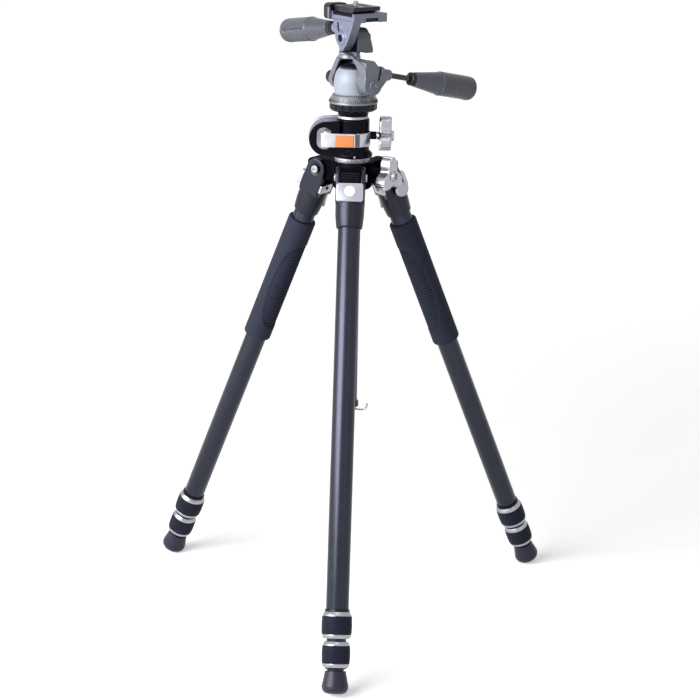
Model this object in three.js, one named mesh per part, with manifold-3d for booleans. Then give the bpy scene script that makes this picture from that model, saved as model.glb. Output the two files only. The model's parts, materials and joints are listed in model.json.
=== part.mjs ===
// A compact aluminium photo tripod: three two-lock legs on a crown, a centre column held in a
// turning clamp, and a three-way pan head with two handles and a quick-release plate.
// Millimetres, +Z up. The front leg points along -Y; the origin is the middle of the footprint.
import * as THREE from "three";
import { mergeVertices } from "three/addons/utils/BufferGeometryUtils.js";
import Module from "manifold-3d";

const wasm = await Module();
wasm.setup();
const radians = THREE.MathUtils.degToRad;

// ---------- Clearances and facets ----------
const gap = 0.3; // between pieces that touch
const tubeClearance = 0.5; // radial play between nested leg tubes
const roundSteps = 24;
const smallSteps = 12;
const arcSteps = 6;
const footSteps = 3;

// ---------- Legs: lengths run down the leg from its hinge ----------
const legSplay = radians(23.2);
const hingeRadius = 41.4;
const upperTubeRadius = 13;
const tubeWall = 1.3;
const socketStart = 40;
const upperTubeEnd = 505;
const middleTubeStart = 95;
const lowerTubeStart = 125;
const shoulderEnd = 60.5;
const shoulderWidth = 34;
const shoulderDepth = 30;
const shoulderNeckRadius = 16.8;
const shoulderEndRadius = 15;
const shoulderTaper = 16;
const shoulderBlockEnd = 33;
const bridgeStart = 15.5;
const gripSpacing = 11.5;
const gripLength = 170.5;
const gripRadius = 17;
const upperLockLength = 33;
const upperLockRadius = 17.15;
const lockSpacing = 3;
const lowerLockLength = 31;
const lowerLockRadius = 16;
const lockSocketDepth = 8;
const footSpacing = 2;
const footLength = 25.7;
const footTopRadius = 12;
const footRadius = 15.3;
const footCorner = 8;
const footSocketDepth = 14;

// ---------- Leg hinge, angle tab and side knob ----------
const lugWidth = 24.4;
const lugRadius = 14;
const boltRadius = 3;
const boltHeadRadius = 4.6;
const boltHeadHeight = 2;
const tabWidth = 33;
const tabHeight = 21;
const tabThickness = 3;
const tabTop = 9;
const tabCorner = 3;
const sideKnobRadius = 9;
const sideKnobThickness = 4.5;
const sideKnobDrop = 26;
const sideKnobOut = 4;
const sideKnobStem = 3.2;

// ---------- Crown, graduated ring and crown knob: heights from the leg hinges ----------
const crownTop = 12.2;
const crownDepth = 32;
const crownRadius = 26;
const crownSkirtRadius = 23.4;
const crownStep = 16;
const ringRadius = 21.2;
const ringHeight = 5.2;
const crownKnobAzimuth = radians(-30);
const crownBossRadius = 7.5;
const crownBossReach = 40;

// ---------- Wing knobs: a three-lobed head on a neck ----------
const knobMeanRadius = 17;
const knobLobe = 6;
const knobThickness = 14.7;
const knobNeckRadius = 4.6;
const knobNeckLength = 5;
const knobButtonRadius = 6;
const knobButtonHeight = 3;
const knobSteps = 48;

// ---------- Column clamp: heights from the clamp's own foot ----------
const clampFootRadius = 22;
const clampRadius = 19;
const clampHeight = 21.3;
const clampFootHeight = 4;
const collarHeight = 24.6;
const pivotX = -27.5;
const pivotHeight = 23.5;
const cheekRadius = 20.3;
const cheekThickness = 6;
const cheekInner = 13;
const rearCheekExtra = 1.2;
const windowWidth = 22.5;
const windowHeight = 23.5;
const windowRight = -17.5;
const windowMiddle = 24.4;
const knuckleFront = 8.3;
const knuckleRadius = 7.5;
const leverPinX = -29.5;
const leverPinY = -16;
const leverEyeRadius = 6;
const leverPinRadius = 2.4;
const leverHeight = 16.8;
const leverThickness = 2.6;
const leverMiddle = 22.3;
const leverEndAngle = radians(-17);
const insertLeft = -18;
const insertWidth = 21;
const insertHeight = 13.6;
const insertThickness = 2;
const insertProud = 0.8;
const columnBossRadius = 4.7;
const columnBossReach = 28;
const columnKnobHeight = 25;

// ---------- Centre column ----------
const columnRadius = 10.5;
const columnWall = 1.5;
const columnLength = 349.7;
const plugRadius = 12.4;
const plugHeight = 8;
const plugTenon = 14;
const topPlateRadius = 17;
const topPlateHeight = 1.9;
const headScrewRadius = 4.6;
const headScrewHeight = 7;
const hookWire = 1.2;
const hookReach = 23;
const hookRise = 7.5;
const hookStem = 3.4;

// ---------- Head: heights from the pan joint ----------
const headTurn = radians(37);
const neckRadius = 18;
const neckHeight = 6.8;
const lockRingRadius = 27.4;
const lockRingHeight = 7.4;
const lockRingFlutes = 24;
const lockRingFlute = 0.5;
const spindleRadius = 9;
const spindleReach = 15;
const panRadius = 28.9;
const panRimHeight = 1.6;
const panTopRadius = 24.2;
const panHeight = 10;
const barrelRadius = 21.2;
const barrelTopRadius = 15.2;
const barrelHeight = 40.5;
const capRadius = 14;
const capHeight = 2.5;
const tiltHeight = 24.7;
const axleRadius = 5;
const hubRadius = 13;
const yokeFront = -40;
const yokeFrontInner = -26;
const yokeBackInner = 28;
const yokeBack = 38;
const archClearance = 9;
const archThickness = 10.5;
const yokeNeck = 13;
const yokeHalfDepth = 11.5;
const axleCapRadius = 6;
const axleCapHeight = 2.2;
const tiltKnobRadius = 8;
const tiltKnobLength = 13.5;
const postBack = 21;
const postFront = -2;
const postHalfWidth = 12;
const postRise = 10.3;
const rollClearance = 1.7;
const rollPinRadius = 4;
const bracketFront = -18;
const bracketRadius = 14;
const bracketFlank = -15;
const bracketFlankRise = 13.5;
const platformRise = 18.5;
const platformHeight = 10.5;
const platformRight = -20;
const platformLeft = 24.3;
const platformFront = -15;
const platformBack = 29;
const plateWidth = 39;
const plateDepth = 34.5;
const plateHeight = 7;
const plateMiddle = -0.5;
const plateForward = 0.8;
const screwRadius = 3.1;
const screwProud = 5.5;
const releaseThickness = 12;
const releaseFront = -20;
const releaseBack = 10;
const releaseHeight = 19;

// ---------- Pan and roll handles: both the same, a rod in a split boss and a long grip ----------
const tiltRodY = -32;
const tiltRodLift = 14.6;
const tiltRodDroop = radians(11.4);
const tiltBossStart = 4;
const tiltBossEnd = 33;
const tiltGripStart = 58;
const rollRodX = -12;
const rollRodLift = 12.7;
const rollRodDroop = radians(8);
const rollBossEnd = 21.7;
const rollGripStart = 22.5;
const bossRadius = 6.75;
const rodRadius = 3.3;
const rodDepth = 12;
const collarLength = 6;
const handleCollarRadius = 7.4;
const gripNeckRadius = 8.6;
const handleRadius = 14.5;
const handleConeLength = 37;
const handleLength = 92;
const handleRounding = 6;

// ---------- Sizes that follow ----------
const middleTubeRadius = upperTubeRadius - tubeWall - tubeClearance;
const lowerTubeRadius = middleTubeRadius - tubeWall - tubeClearance;
const gripStart = shoulderEnd + gripSpacing;
const gripEnd = gripStart + gripLength;
const upperLockStart = upperTubeEnd - lockSocketDepth;
const upperLockEnd = upperLockStart + upperLockLength;
const lowerLockStart = upperLockEnd + lockSpacing;
const lowerLockEnd = lowerLockStart + lowerLockLength;
const footStart = lowerLockEnd + footSpacing;
const legLength = footStart + footLength;
const middleTubeEnd = lowerLockStart + lockSocketDepth;
// The leaning foot stands on the inner side of its rounded edge.
const hingeHeight =
  (legLength - footCorner) * Math.cos(legSplay) +
  (footRadius - footCorner) * Math.sin(legSplay) +
  footCorner;
const ringBottom = crownTop + gap;
const clampBottom = ringBottom + ringHeight + gap;
const collarBottom = clampHeight + gap;
const collarTop = collarBottom + collarHeight;
const bore = columnRadius + gap;
const yokeArch = barrelHeight + archClearance;
const yokeTop = yokeArch + archThickness;
const rollHeight = yokeTop + bracketRadius + rollClearance;
const postTop = rollHeight + postRise;
const platformBottom = rollHeight + platformRise;
const neckBottom = collarTop + topPlateHeight + 2 * gap;
const lockRingBottom = neckBottom + neckHeight + gap;
const panBottom = lockRingBottom + lockRingHeight + gap;

// ---------- Materials ----------
const finish = (color, roughness, metalness) =>
  new THREE.MeshStandardMaterial({ color, roughness, metalness });
const blackPaint = finish(0x1b1c20, 0.45, 0.4);
const legPaint = finish(0x23242a, 0.4, 0.6);
const rubber = finish(0x17181a, 0.85, 0);
const foam = finish(0x2a2c30, 0.95, 0);
const bright = finish(0xc9ccd2, 0.28, 1);
const greyMetal = finish(0xa9acb3, 0.4, 0.8);
const darkMetal = finish(0x4a4c52, 0.4, 0.7);
const darkPlastic = finish(0x202126, 0.55, 0);
const orange = finish(0xf08a34, 0.5, 0);

// ---------- Shape helpers ----------
// A turned piece about Z from [radius, height] pairs, closed on itself unless it ends on the axis.
function turned(profile, steps = roundSteps) {
  const points = profile.map(([radius, z]) => new THREE.Vector2(radius, z));
  if (points[0].x > 0) points.push(points[0].clone());
  if (THREE.ShapeUtils.isClockWise(points)) points.reverse();
  return new THREE.LatheGeometry(points, steps).rotateX(Math.PI / 2);
}

const rod = (radius, bottom, top, steps = roundSteps) =>
  turned([[0, bottom], [radius, bottom], [radius, top], [0, top]], steps);

const tube = (outer, inner, bottom, top, steps = roundSteps) =>
  turned([[inner, bottom], [outer, bottom], [outer, top], [inner, top]], steps);

function outline(points) {
  return new THREE.Shape(points.map(([x, y]) => new THREE.Vector2(x, y)));
}

// An outline raised along +Z from bottom to top.
function raised(shape, bottom, top) {
  const options = { depth: top - bottom, bevelEnabled: false, curveSegments: arcSteps };
  return new THREE.ExtrudeGeometry(shape, options).translate(0, 0, bottom);
}

// An outline drawn in (y, z), spanning x from one value to the other.
function acrossX(shape, from, to) {
  const turn = new THREE.Matrix4().makeBasis(
    new THREE.Vector3(0, 1, 0),
    new THREE.Vector3(0, 0, 1),
    new THREE.Vector3(1, 0, 0),
  );
  return raised(shape, from, to).applyMatrix4(turn);
}

// An outline drawn in (x, z), spanning y from one value to the other.
const acrossY = (shape, from, to) => raised(shape, -to, -from).rotateX(Math.PI / 2);

const alongX = (geometry) => geometry.rotateY(Math.PI / 2);
const alongY = (geometry) => geometry.rotateX(-Math.PI / 2);

function box(x, y, z) {
  const size = [x, y, z].map(([low, high]) => high - low);
  const middle = [x, y, z].map(([low, high]) => (low + high) / 2);
  return new THREE.BoxGeometry(...size).translate(...middle);
}

function roundedRectangle(width, height, corner) {
  const [w, h] = [width / 2, height / 2];
  const shape = new THREE.Shape();
  shape.moveTo(-w + corner, -h);
  shape.lineTo(w - corner, -h);
  shape.absarc(w - corner, -h + corner, corner, -Math.PI / 2, 0);
  shape.lineTo(w, h - corner);
  shape.absarc(w - corner, h - corner, corner, 0, Math.PI / 2);
  shape.lineTo(-w + corner, h);
  shape.absarc(-w + corner, h - corner, corner, Math.PI / 2, Math.PI);
  shape.lineTo(-w, -h + corner);
  shape.absarc(-w + corner, -h + corner, corner, Math.PI, 1.5 * Math.PI);
  return shape;
}

function solid(geometry) {
  const bare = new THREE.BufferGeometry();
  bare.setAttribute("position", geometry.getAttribute("position"));
  if (geometry.index) bare.setIndex(geometry.index);
  const merged = mergeVertices(bare, 1e-4);
  const vertProperties = merged.getAttribute("position").array;
  const triVerts = new Uint32Array(merged.index.array);
  return new wasm.Manifold(new wasm.Mesh({ numProp: 3, vertProperties, triVerts }));
}

function surface(body) {
  const { numProp, vertProperties, triVerts } = body.getMesh();
  const geometry = new THREE.BufferGeometry();
  const attribute = new THREE.BufferAttribute(new Float32Array(vertProperties), numProp);
  geometry.setAttribute("position", attribute);
  geometry.setIndex(new THREE.BufferAttribute(triVerts, 1));
  return geometry.toNonIndexed();
}

const joined = (...parts) =>
  surface(parts.map(solid).reduce((whole, part) => whole.add(part)));
const cut = (base, ...tools) =>
  surface(tools.map(solid).reduce((whole, tool) => whole.subtract(tool), solid(base)));
const common = (first, second) => surface(solid(first).intersect(solid(second)));

function mesh(name, geometry, material) {
  if (!geometry.getAttribute("normal")) geometry.computeVertexNormals();
  const made = new THREE.Mesh(geometry, material);
  made.name = name;
  return made;
}

// ---------- Legs ----------
function shoulder() {
  const side = new THREE.Shape();
  side.moveTo(-shoulderDepth / 2, -shoulderBlockEnd);
  side.lineTo(shoulderDepth / 2, -shoulderBlockEnd);
  side.absarc(0, 0, shoulderDepth / 2, 0, Math.PI);
  const slab = acrossX(side, -shoulderWidth / 2, shoulderWidth / 2);
  const corner = Math.hypot(shoulderWidth, shoulderDepth) / 2;
  const trim = turned([
    [0, -shoulderBlockEnd - 1],
    [shoulderNeckRadius, -shoulderBlockEnd - 1],
    [shoulderNeckRadius + 1, -shoulderBlockEnd + 3],
    [corner, -bridgeStart + 3],
    [corner, shoulderDepth],
    [0, shoulderDepth],
  ]);
  const block = common(slab, trim);
  const neckStart = tabTop + tabHeight + gap;
  const neck = turned([
    [0, -shoulderEnd],
    [shoulderEndRadius, -shoulderEnd],
    [shoulderEndRadius + 0.6, -shoulderEnd + 4],
    [shoulderNeckRadius, -shoulderEnd + shoulderTaper],
    [shoulderNeckRadius, -neckStart - gap],
    [0, -neckStart - gap],
  ]);
  const halfSlot = lugWidth / 2 + gap;
  const half = shoulderDepth;
  const slot = box([-halfSlot, halfSlot], [-half, half], [-bridgeStart, half]);
  const socket = rod(upperTubeRadius + gap, -shoulderEnd - 1, -socketStart);
  const width = shoulderWidth;
  const boltHole = alongX(rod(boltRadius + gap, -width, width, smallSteps));
  return cut(joined(block, neck), slot, socket, boltHole);
}

function hingeBolt() {
  const half = shoulderWidth / 2 + gap;
  return alongX(
    turned(
      [
        [0, -half - boltHeadHeight],
        [boltHeadRadius, -half - boltHeadHeight],
        [boltHeadRadius, -half],
        [boltRadius, -half],
        [boltRadius, half],
        [boltHeadRadius, half],
        [boltHeadRadius, half + boltHeadHeight],
        [0, half + boltHeadHeight],
      ],
      smallSteps,
    ),
  );
}

function angleTab() {
  const face = shoulderDepth / 2 + gap;
  const middle = -tabTop - tabHeight / 2;
  const shape = roundedRectangle(tabWidth, tabHeight, tabCorner);
  return acrossY(shape, face, face + tabThickness).translate(0, 0, middle);
}

function sideKnob() {
  const face = shoulderWidth / 2 + gap;
  const knob = turned(
    [
      [0, face],
      [sideKnobStem, face],
      [sideKnobStem, face + sideKnobStem],
      [sideKnobRadius, face + sideKnobStem],
      [sideKnobRadius, face + sideKnobStem + sideKnobThickness],
      [0, face + sideKnobStem + sideKnobThickness],
    ],
    smallSteps,
  );
  return alongX(knob).translate(0, sideKnobOut, -sideKnobDrop);
}

// A twist lock: a ribbed sleeve that grips the thinner tube and seats on the wider one's end.
function twistLock(start, length, radius, widerRadius, thinnerRadius) {
  const seat = start + lockSocketDepth + gap;
  return turned([
    [widerRadius + gap, -start],
    [radius - 2, -start],
    [radius, -start - 3.5],
    [radius, -start - length + 8],
    [radius - 0.6, -start - length + 2],
    [radius - 1.4, -start - length],
    [thinnerRadius + gap, -start - length],
    [thinnerRadius + gap, -seat],
    [widerRadius + gap, -seat],
  ]);
}

function foot() {
  const flat = footRadius - footCorner;
  const edge = Array.from({ length: footSteps + 1 }, (_, i) => {
    const angle = (Math.PI / 2) * (1 - i / footSteps);
    return [flat + footCorner * Math.sin(angle), footCorner * (1 - Math.cos(angle)) - legLength];
  });
  return turned([
    [lowerTubeRadius + gap, -footStart],
    [footTopRadius, -footStart],
    [footTopRadius + 0.8, -footStart - 4],
    ...edge,
    [0, -legLength],
    [0, -footStart - footSocketDepth - gap],
    [lowerTubeRadius + gap, -footStart - footSocketDepth - gap],
  ]);
}

function makeLeg(side, azimuth, withGrip, withKnob) {
  const leg = new THREE.Group();
  const upper = tube(upperTubeRadius, upperTubeRadius - tubeWall, -upperTubeEnd, -socketStart - gap);
  const middle = tube(
    middleTubeRadius,
    middleTubeRadius - tubeWall,
    -middleTubeEnd,
    -middleTubeStart,
  );
  const lowerTubeEnd = footStart + footSocketDepth;
  const lower = tube(lowerTubeRadius, lowerTubeRadius - tubeWall, -lowerTubeEnd, -lowerTubeStart);
  const upperLock = twistLock(
    upperLockStart,
    upperLockLength,
    upperLockRadius,
    upperTubeRadius,
    middleTubeRadius,
  );
  const lowerLock = twistLock(
    lowerLockStart,
    lowerLockLength,
    lowerLockRadius,
    middleTubeRadius,
    lowerTubeRadius,
  );
  leg.add(mesh(side + "_leg_shoulder", shoulder(), blackPaint));
  leg.add(mesh(side + "_hinge_bolt", hingeBolt(), bright));
  leg.add(mesh(side + "_angle_tab", angleTab(), bright));
  leg.add(mesh(side + "_upper_tube", upper, legPaint));
  leg.add(mesh(side + "_upper_lock", upperLock, rubber));
  leg.add(mesh(side + "_middle_tube", middle, legPaint));
  leg.add(mesh(side + "_lower_lock", lowerLock, rubber));
  leg.add(mesh(side + "_lower_tube", lower, legPaint));
  leg.add(mesh(side + "_foot", foot(), rubber));
  if (withGrip) {
    const sleeve = tube(gripRadius, upperTubeRadius + gap, -gripEnd, -gripStart);
    leg.add(mesh(side + "_foam_grip", sleeve, foam));
  }
  if (withKnob) leg.add(mesh(side + "_side_knob", sideKnob(), bright));
  leg.position.y = hingeRadius;
  leg.rotation.x = legSplay;
  const bearing = new THREE.Group();
  bearing.add(leg);
  bearing.rotation.z = azimuth - Math.PI / 2;
  return bearing;
}

// ---------- Crown ----------
const legAzimuths = { front: radians(-90), right: radians(30), left: radians(150) };

function crownLug(azimuth) {
  const side = new THREE.Shape();
  side.moveTo(crownSkirtRadius - 6, crownTop);
  side.lineTo(crownSkirtRadius - 6, -lugRadius + 2);
  side.lineTo(hingeRadius, -lugRadius);
  side.absarc(hingeRadius, 0, lugRadius, -Math.PI / 2, 0);
  side.lineTo(hingeRadius + lugRadius, crownTop - 3);
  side.lineTo(hingeRadius + lugRadius - 3, crownTop);
  const lug = acrossX(side, -lugWidth / 2, lugWidth / 2);
  const width = lugWidth;
  const hole = alongX(rod(boltRadius + gap, -width, width, smallSteps));
  hole.translate(0, hingeRadius, 0);
  return cut(lug, hole).rotateZ(azimuth - Math.PI / 2);
}

function crown() {
  const hub = turned([
    [bore, crownTop],
    [bore, crownTop - crownDepth],
    [crownSkirtRadius - 2, crownTop - crownDepth],
    [crownSkirtRadius, crownTop - crownDepth + 2],
    [crownSkirtRadius, crownTop - crownStep],
    [crownRadius, crownTop - crownStep + 2],
    [crownRadius, crownTop],
  ]);
  const boss = alongX(rod(crownBossRadius, crownSkirtRadius - 3, crownBossReach, smallSteps));
  boss.rotateZ(crownKnobAzimuth);
  const lugs = Object.values(legAzimuths).map(crownLug);
  const passage = rod(bore, -crownDepth - crownTop, crownTop + 1);
  return cut(joined(hub, boss, ...lugs), passage);
}

// A wing knob with its neck starting at x = 0 and its lobes facing +X.
function wingKnob() {
  const shape = outline(
    Array.from({ length: knobSteps }, (_, i) => {
      const angle = (2 * Math.PI * i) / knobSteps;
      const radius = knobMeanRadius - knobLobe * Math.cos(3 * angle);
      return [radius * Math.cos(angle), radius * Math.sin(angle)];
    }),
  );
  const head = raised(shape, knobNeckLength, knobNeckLength + knobThickness);
  const neck = rod(knobNeckRadius, 0, knobNeckLength + 1, smallSteps);
  const face = knobNeckLength + knobThickness;
  const button = rod(knobButtonRadius, face - 1, face + knobButtonHeight, smallSteps);
  return alongX(joined(head, neck, button));
}

function makeCrown() {
  const group = new THREE.Group();
  group.add(mesh("crown", crown(), blackPaint));
  const ring = tube(ringRadius, bore, ringBottom, ringBottom + ringHeight);
  group.add(mesh("degree_ring", ring, greyMetal));
  const knob = mesh("crown_knob", wingKnob().translate(crownBossReach + gap, 0, 0), bright);
  knob.rotation.z = crownKnobAzimuth;
  group.add(knob);
  return group;
}

// ---------- Column clamp: a turning foot and a collar that share a pivot, and a band lever ----------
function cheekOutline(radius, right, foot) {
  const shape = new THREE.Shape();
  shape.moveTo(right, pivotHeight + radius);
  shape.lineTo(pivotX, pivotHeight + radius);
  shape.absarc(pivotX, pivotHeight, radius, Math.PI / 2, radians(250));
  shape.lineTo(right, foot);
  return shape;
}

function cheekWindow() {
  const window = roundedRectangle(windowWidth, windowHeight, 5);
  const moved = acrossY(window, -cheekInner - cheekThickness - 1, cheekInner + cheekThickness + 1);
  return moved.translate(windowRight - windowWidth / 2, 0, windowMiddle);
}

function clampFootProfile(extra) {
  return [
    [bore - extra, -extra],
    [clampFootRadius + extra, -extra],
    [clampFootRadius + extra, clampFootHeight],
    [clampRadius + extra, clampFootHeight + 4],
    [clampRadius + extra, clampHeight + extra],
    [bore - extra, clampHeight + extra],
  ];
}

function clampBase() {
  const right = -Math.sqrt(clampRadius ** 2 - cheekInner ** 2) - gap;
  const front = [-cheekInner - cheekThickness, -cheekInner];
  const cheek = acrossY(cheekOutline(cheekRadius, right - gap, 1), ...front);
  const web = acrossY(
    outline([[right - 2, 1], [-6, 1], [-6, clampHeight], [right - 2, clampHeight]]),
    ...front,
  );
  const windowed = cut(joined(cheek, web), cheekWindow());
  const body = joined(turned(clampFootProfile(0)), windowed);
  return cut(body, rod(bore, -1, clampHeight + 1), knuckleSpace());
}

function knuckle(extra, back) {
  const shape = new THREE.Shape();
  const bottom = collarBottom - extra;
  shape.moveTo(-clampRadius + 6, bottom);
  shape.lineTo(-clampRadius + 6, pivotHeight + knuckleRadius + extra);
  shape.lineTo(pivotX, pivotHeight + knuckleRadius + extra);
  shape.absarc(pivotX, pivotHeight, knuckleRadius + extra, Math.PI / 2, 1.5 * Math.PI);
  shape.lineTo(pivotX + knuckleRadius + extra, bottom);
  return acrossY(shape, -knuckleFront - extra, back);
}

const knuckleSpace = () => knuckle(gap, cheekInner + gap);

function columnCollar() {
  const ring = rod(clampRadius, collarBottom, collarTop);
  const boss = alongX(rod(columnBossRadius, bore + 3, columnBossReach, smallSteps));
  boss.translate(0, 0, columnKnobHeight);
  const arm = knuckle(0, cheekInner - gap);
  const bolt = alongY(rod(boltRadius + gap, -cheekInner, cheekInner, smallSteps));
  bolt.translate(pivotX, 0, pivotHeight);
  const foot = turned(clampFootProfile(gap));
  const whole = joined(ring, arm, cut(boss, foot));
  return cut(whole, rod(bore, -1, collarTop + 1), bolt);
}

function rearCheek() {
  const radius = cheekRadius + rearCheekExtra;
  const right = -Math.sqrt(clampRadius ** 2 - cheekInner ** 2) - gap;
  const span = [cheekInner, cheekInner + cheekThickness];
  const cheek = acrossY(cheekOutline(radius, right - gap, 3), ...span);
  const bolt = alongY(rod(boltRadius + gap, 0, 2 * cheekInner, smallSteps));
  bolt.translate(pivotX, 0, pivotHeight);
  return cut(cheek, turned(clampFootProfile(gap)), bolt);
}

function pivotBolt() {
  const front = -knuckleFront - gap;
  const back = cheekInner + cheekThickness + gap;
  const profile = [
    [0, front - 1.4],
    [boltHeadRadius, front - 1.4],
    [boltHeadRadius, front],
    [boltRadius, front],
    [boltRadius, back],
    [boltHeadRadius + 1, back],
    [boltHeadRadius + 1, back + boltHeadHeight],
    [0, back + boltHeadHeight],
  ];
  return alongY(turned(profile, smallSteps)).translate(pivotX, 0, pivotHeight);
}

// Top view of the band: straight from the pin's eye, then round the collar to its free end.
function bandOutline(outer, inner, start, stop) {
  const shape = new THREE.Shape();
  shape.moveTo(start, -outer);
  shape.lineTo(0, -outer);
  shape.absarc(0, 0, outer, -Math.PI / 2, stop, false);
  shape.lineTo(inner * Math.cos(stop), inner * Math.sin(stop));
  shape.absarc(0, 0, inner, stop, -Math.PI / 2, true);
  shape.lineTo(start, -inner);
  return shape;
}

const bandOuter = -leverPinY + leverEyeRadius;
const bandInner = bandOuter - leverThickness;

function insertWindow(extra) {
  return box(
    [insertLeft - extra, insertLeft + insertWidth + extra],
    [-bandOuter - 2, -bandInner + 2],
    [leverMiddle - insertHeight / 2 - extra, leverMiddle + insertHeight / 2 + extra],
  );
}

function clampLever() {
  const low = leverMiddle - leverHeight / 2;
  const high = leverMiddle + leverHeight / 2;
  const band = raised(bandOutline(bandOuter, bandInner, leverPinX, leverEndAngle), low, high);
  const eye = rod(leverEyeRadius, low, high, smallSteps).translate(leverPinX, leverPinY, 0);
  const pinLow = windowMiddle - windowHeight / 2 + gap;
  const pinHigh = windowMiddle + windowHeight / 2 - gap;
  const pin = rod(leverPinRadius, pinLow, pinHigh, smallSteps).translate(leverPinX, leverPinY, 0);
  return cut(joined(band, eye, pin), insertWindow(gap));
}

function leverInsert() {
  const outer = bandOuter + insertProud;
  const shape = bandOutline(outer, outer - insertThickness, insertLeft, radians(-30));
  const low = leverMiddle - insertHeight / 2;
  const block = raised(shape, low, low + insertHeight);
  return common(block, insertWindow(0));
}

function makeClamp() {
  const group = new THREE.Group();
  group.add(mesh("clamp_base", clampBase(), blackPaint));
  group.add(mesh("column_collar", columnCollar(), blackPaint));
  group.add(mesh("rear_cheek", rearCheek(), bright));
  group.add(mesh("pivot_bolt", pivotBolt(), bright));
  group.add(mesh("clamp_lever", clampLever(), bright));
  group.add(mesh("lever_insert", leverInsert(), orange));
  const knob = mesh("column_knob", wingKnob(), bright);
  knob.position.set(columnBossReach + gap, 0, columnKnobHeight);
  group.add(knob);
  return group;
}

// ---------- Centre column: heights from the clamp's foot, like the clamp ----------
function topPlate() {
  const bottom = collarTop + gap;
  const top = bottom + topPlateHeight;
  return turned([
    [0, bottom],
    [topPlateRadius, bottom],
    [topPlateRadius, top],
    [headScrewRadius, top],
    [headScrewRadius, top + headScrewHeight],
    [0, top + headScrewHeight],
  ]);
}

function columnPlug(columnBottom) {
  const inside = columnRadius - columnWall - gap;
  return turned([
    [hookStem / 2 + gap, columnBottom - gap - plugHeight],
    [plugRadius - 2, columnBottom - gap - plugHeight],
    [plugRadius, columnBottom - gap - plugHeight + 2],
    [plugRadius, columnBottom - gap],
    [inside, columnBottom - gap],
    [inside, columnBottom + plugTenon],
    [hookStem / 2 + gap, columnBottom + plugTenon],
  ]);
}

// The hook's wire leaves a stem in the plug, runs out sideways and turns up at its tip.
function bagHook(plugBottom) {
  const level = plugBottom - gap - hookWire - 0.4;
  const points = [
    [0, 0],
    [hookReach * 0.4, -0.6],
    [hookReach * 0.75, -0.8],
    [hookReach * 0.93, 1.2],
    [hookReach, hookRise],
  ].map(([x, z]) => new THREE.Vector3(x, 0, level + z));
  const section = new THREE.Shape().absarc(0, 0, hookWire, 0, 2 * Math.PI);
  const wire = new THREE.ExtrudeGeometry(section, {
    steps: 14,
    curveSegments: 4,
    extrudePath: new THREE.CatmullRomCurve3(points),
  });
  const low = level - hookWire;
  const stemTop = plugBottom + plugHeight + plugTenon + 2 * gap;
  const stem = turned(
    [
      [0, low],
      [hookStem, low],
      [hookStem, plugBottom - gap],
      [hookStem / 2, plugBottom - gap],
      [hookStem / 2, stemTop],
      [hookStem, stemTop],
      [hookStem, stemTop + 2],
      [0, stemTop + 2],
    ],
    smallSteps,
  );
  return joined(stem, wire);
}

function makeColumn() {
  const group = new THREE.Group();
  const columnBottom = collarTop - columnLength;
  const column = tube(columnRadius, columnRadius - columnWall, columnBottom, collarTop);
  group.add(mesh("centre_column", column, legPaint));
  group.add(mesh("column_top_plate", topPlate(), bright));
  group.add(mesh("column_plug", columnPlug(columnBottom), darkPlastic));
  group.add(mesh("bag_hook", bagHook(columnBottom - gap - plugHeight), bright));
  return group;
}

// ---------- Head: local +X is the pan handle's side, local -Y the tilt hub's ----------
function headNeck() {
  return turned([
    [headScrewRadius + gap, neckBottom],
    [neckRadius, neckBottom],
    [neckRadius, neckBottom + neckHeight],
    [spindleRadius, neckBottom + neckHeight],
    [spindleRadius, panBottom + spindleReach],
    [0, panBottom + spindleReach],
    [0, neckBottom + headScrewHeight],
    [headScrewRadius + gap, neckBottom + headScrewHeight],
  ]);
}

function panLockRing() {
  const points = Array.from({ length: 2 * lockRingFlutes }, (_, i) => {
    const angle = (Math.PI * i) / lockRingFlutes;
    const radius = lockRingRadius - (i % 2) * lockRingFlute * 2;
    return [radius * Math.cos(angle), radius * Math.sin(angle)];
  });
  const disc = raised(outline(points), lockRingBottom, lockRingBottom + lockRingHeight);
  const hole = rod(spindleRadius + gap, lockRingBottom - 1, lockRingBottom + lockRingHeight + 1);
  return cut(disc, hole);
}

function barrel() {
  const body = turned([
    [0, spindleReach + gap],
    [spindleRadius + gap, spindleReach + gap],
    [spindleRadius + gap, 0],
    [panRadius, 0],
    [panRadius, panRimHeight],
    [panTopRadius, panHeight],
    [barrelRadius - 0.6, panHeight + 3],
    [barrelRadius, tiltHeight],
    [barrelRadius - 2, barrelHeight - 5.5],
    [barrelTopRadius, barrelHeight],
    [0, barrelHeight],
  ]);
  const hole = alongY(rod(axleRadius + gap, -panRadius, panRadius, smallSteps));
  return cut(body, hole.translate(0, 0, tiltHeight));
}

// A handle's split boss, in the rod's own direction from its start, bored for the rod.
const handleBoss = (start, end) => alongX(rod(bossRadius, start, end, smallSteps));
const handleBore = (end) => alongX(rod(rodRadius + gap, end - rodDepth - gap, end + 1, smallSteps));

function onTiltRod(geometry) {
  return geometry.rotateY(tiltRodDroop).translate(0, tiltRodY, tiltHeight + tiltRodLift);
}

function onRollRod(geometry) {
  const turnedLeft = geometry.rotateY(rollRodDroop).rotateZ(Math.PI / 2);
  return turnedLeft.translate(rollRodX, 0, rollHeight + rollRodLift);
}

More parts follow.
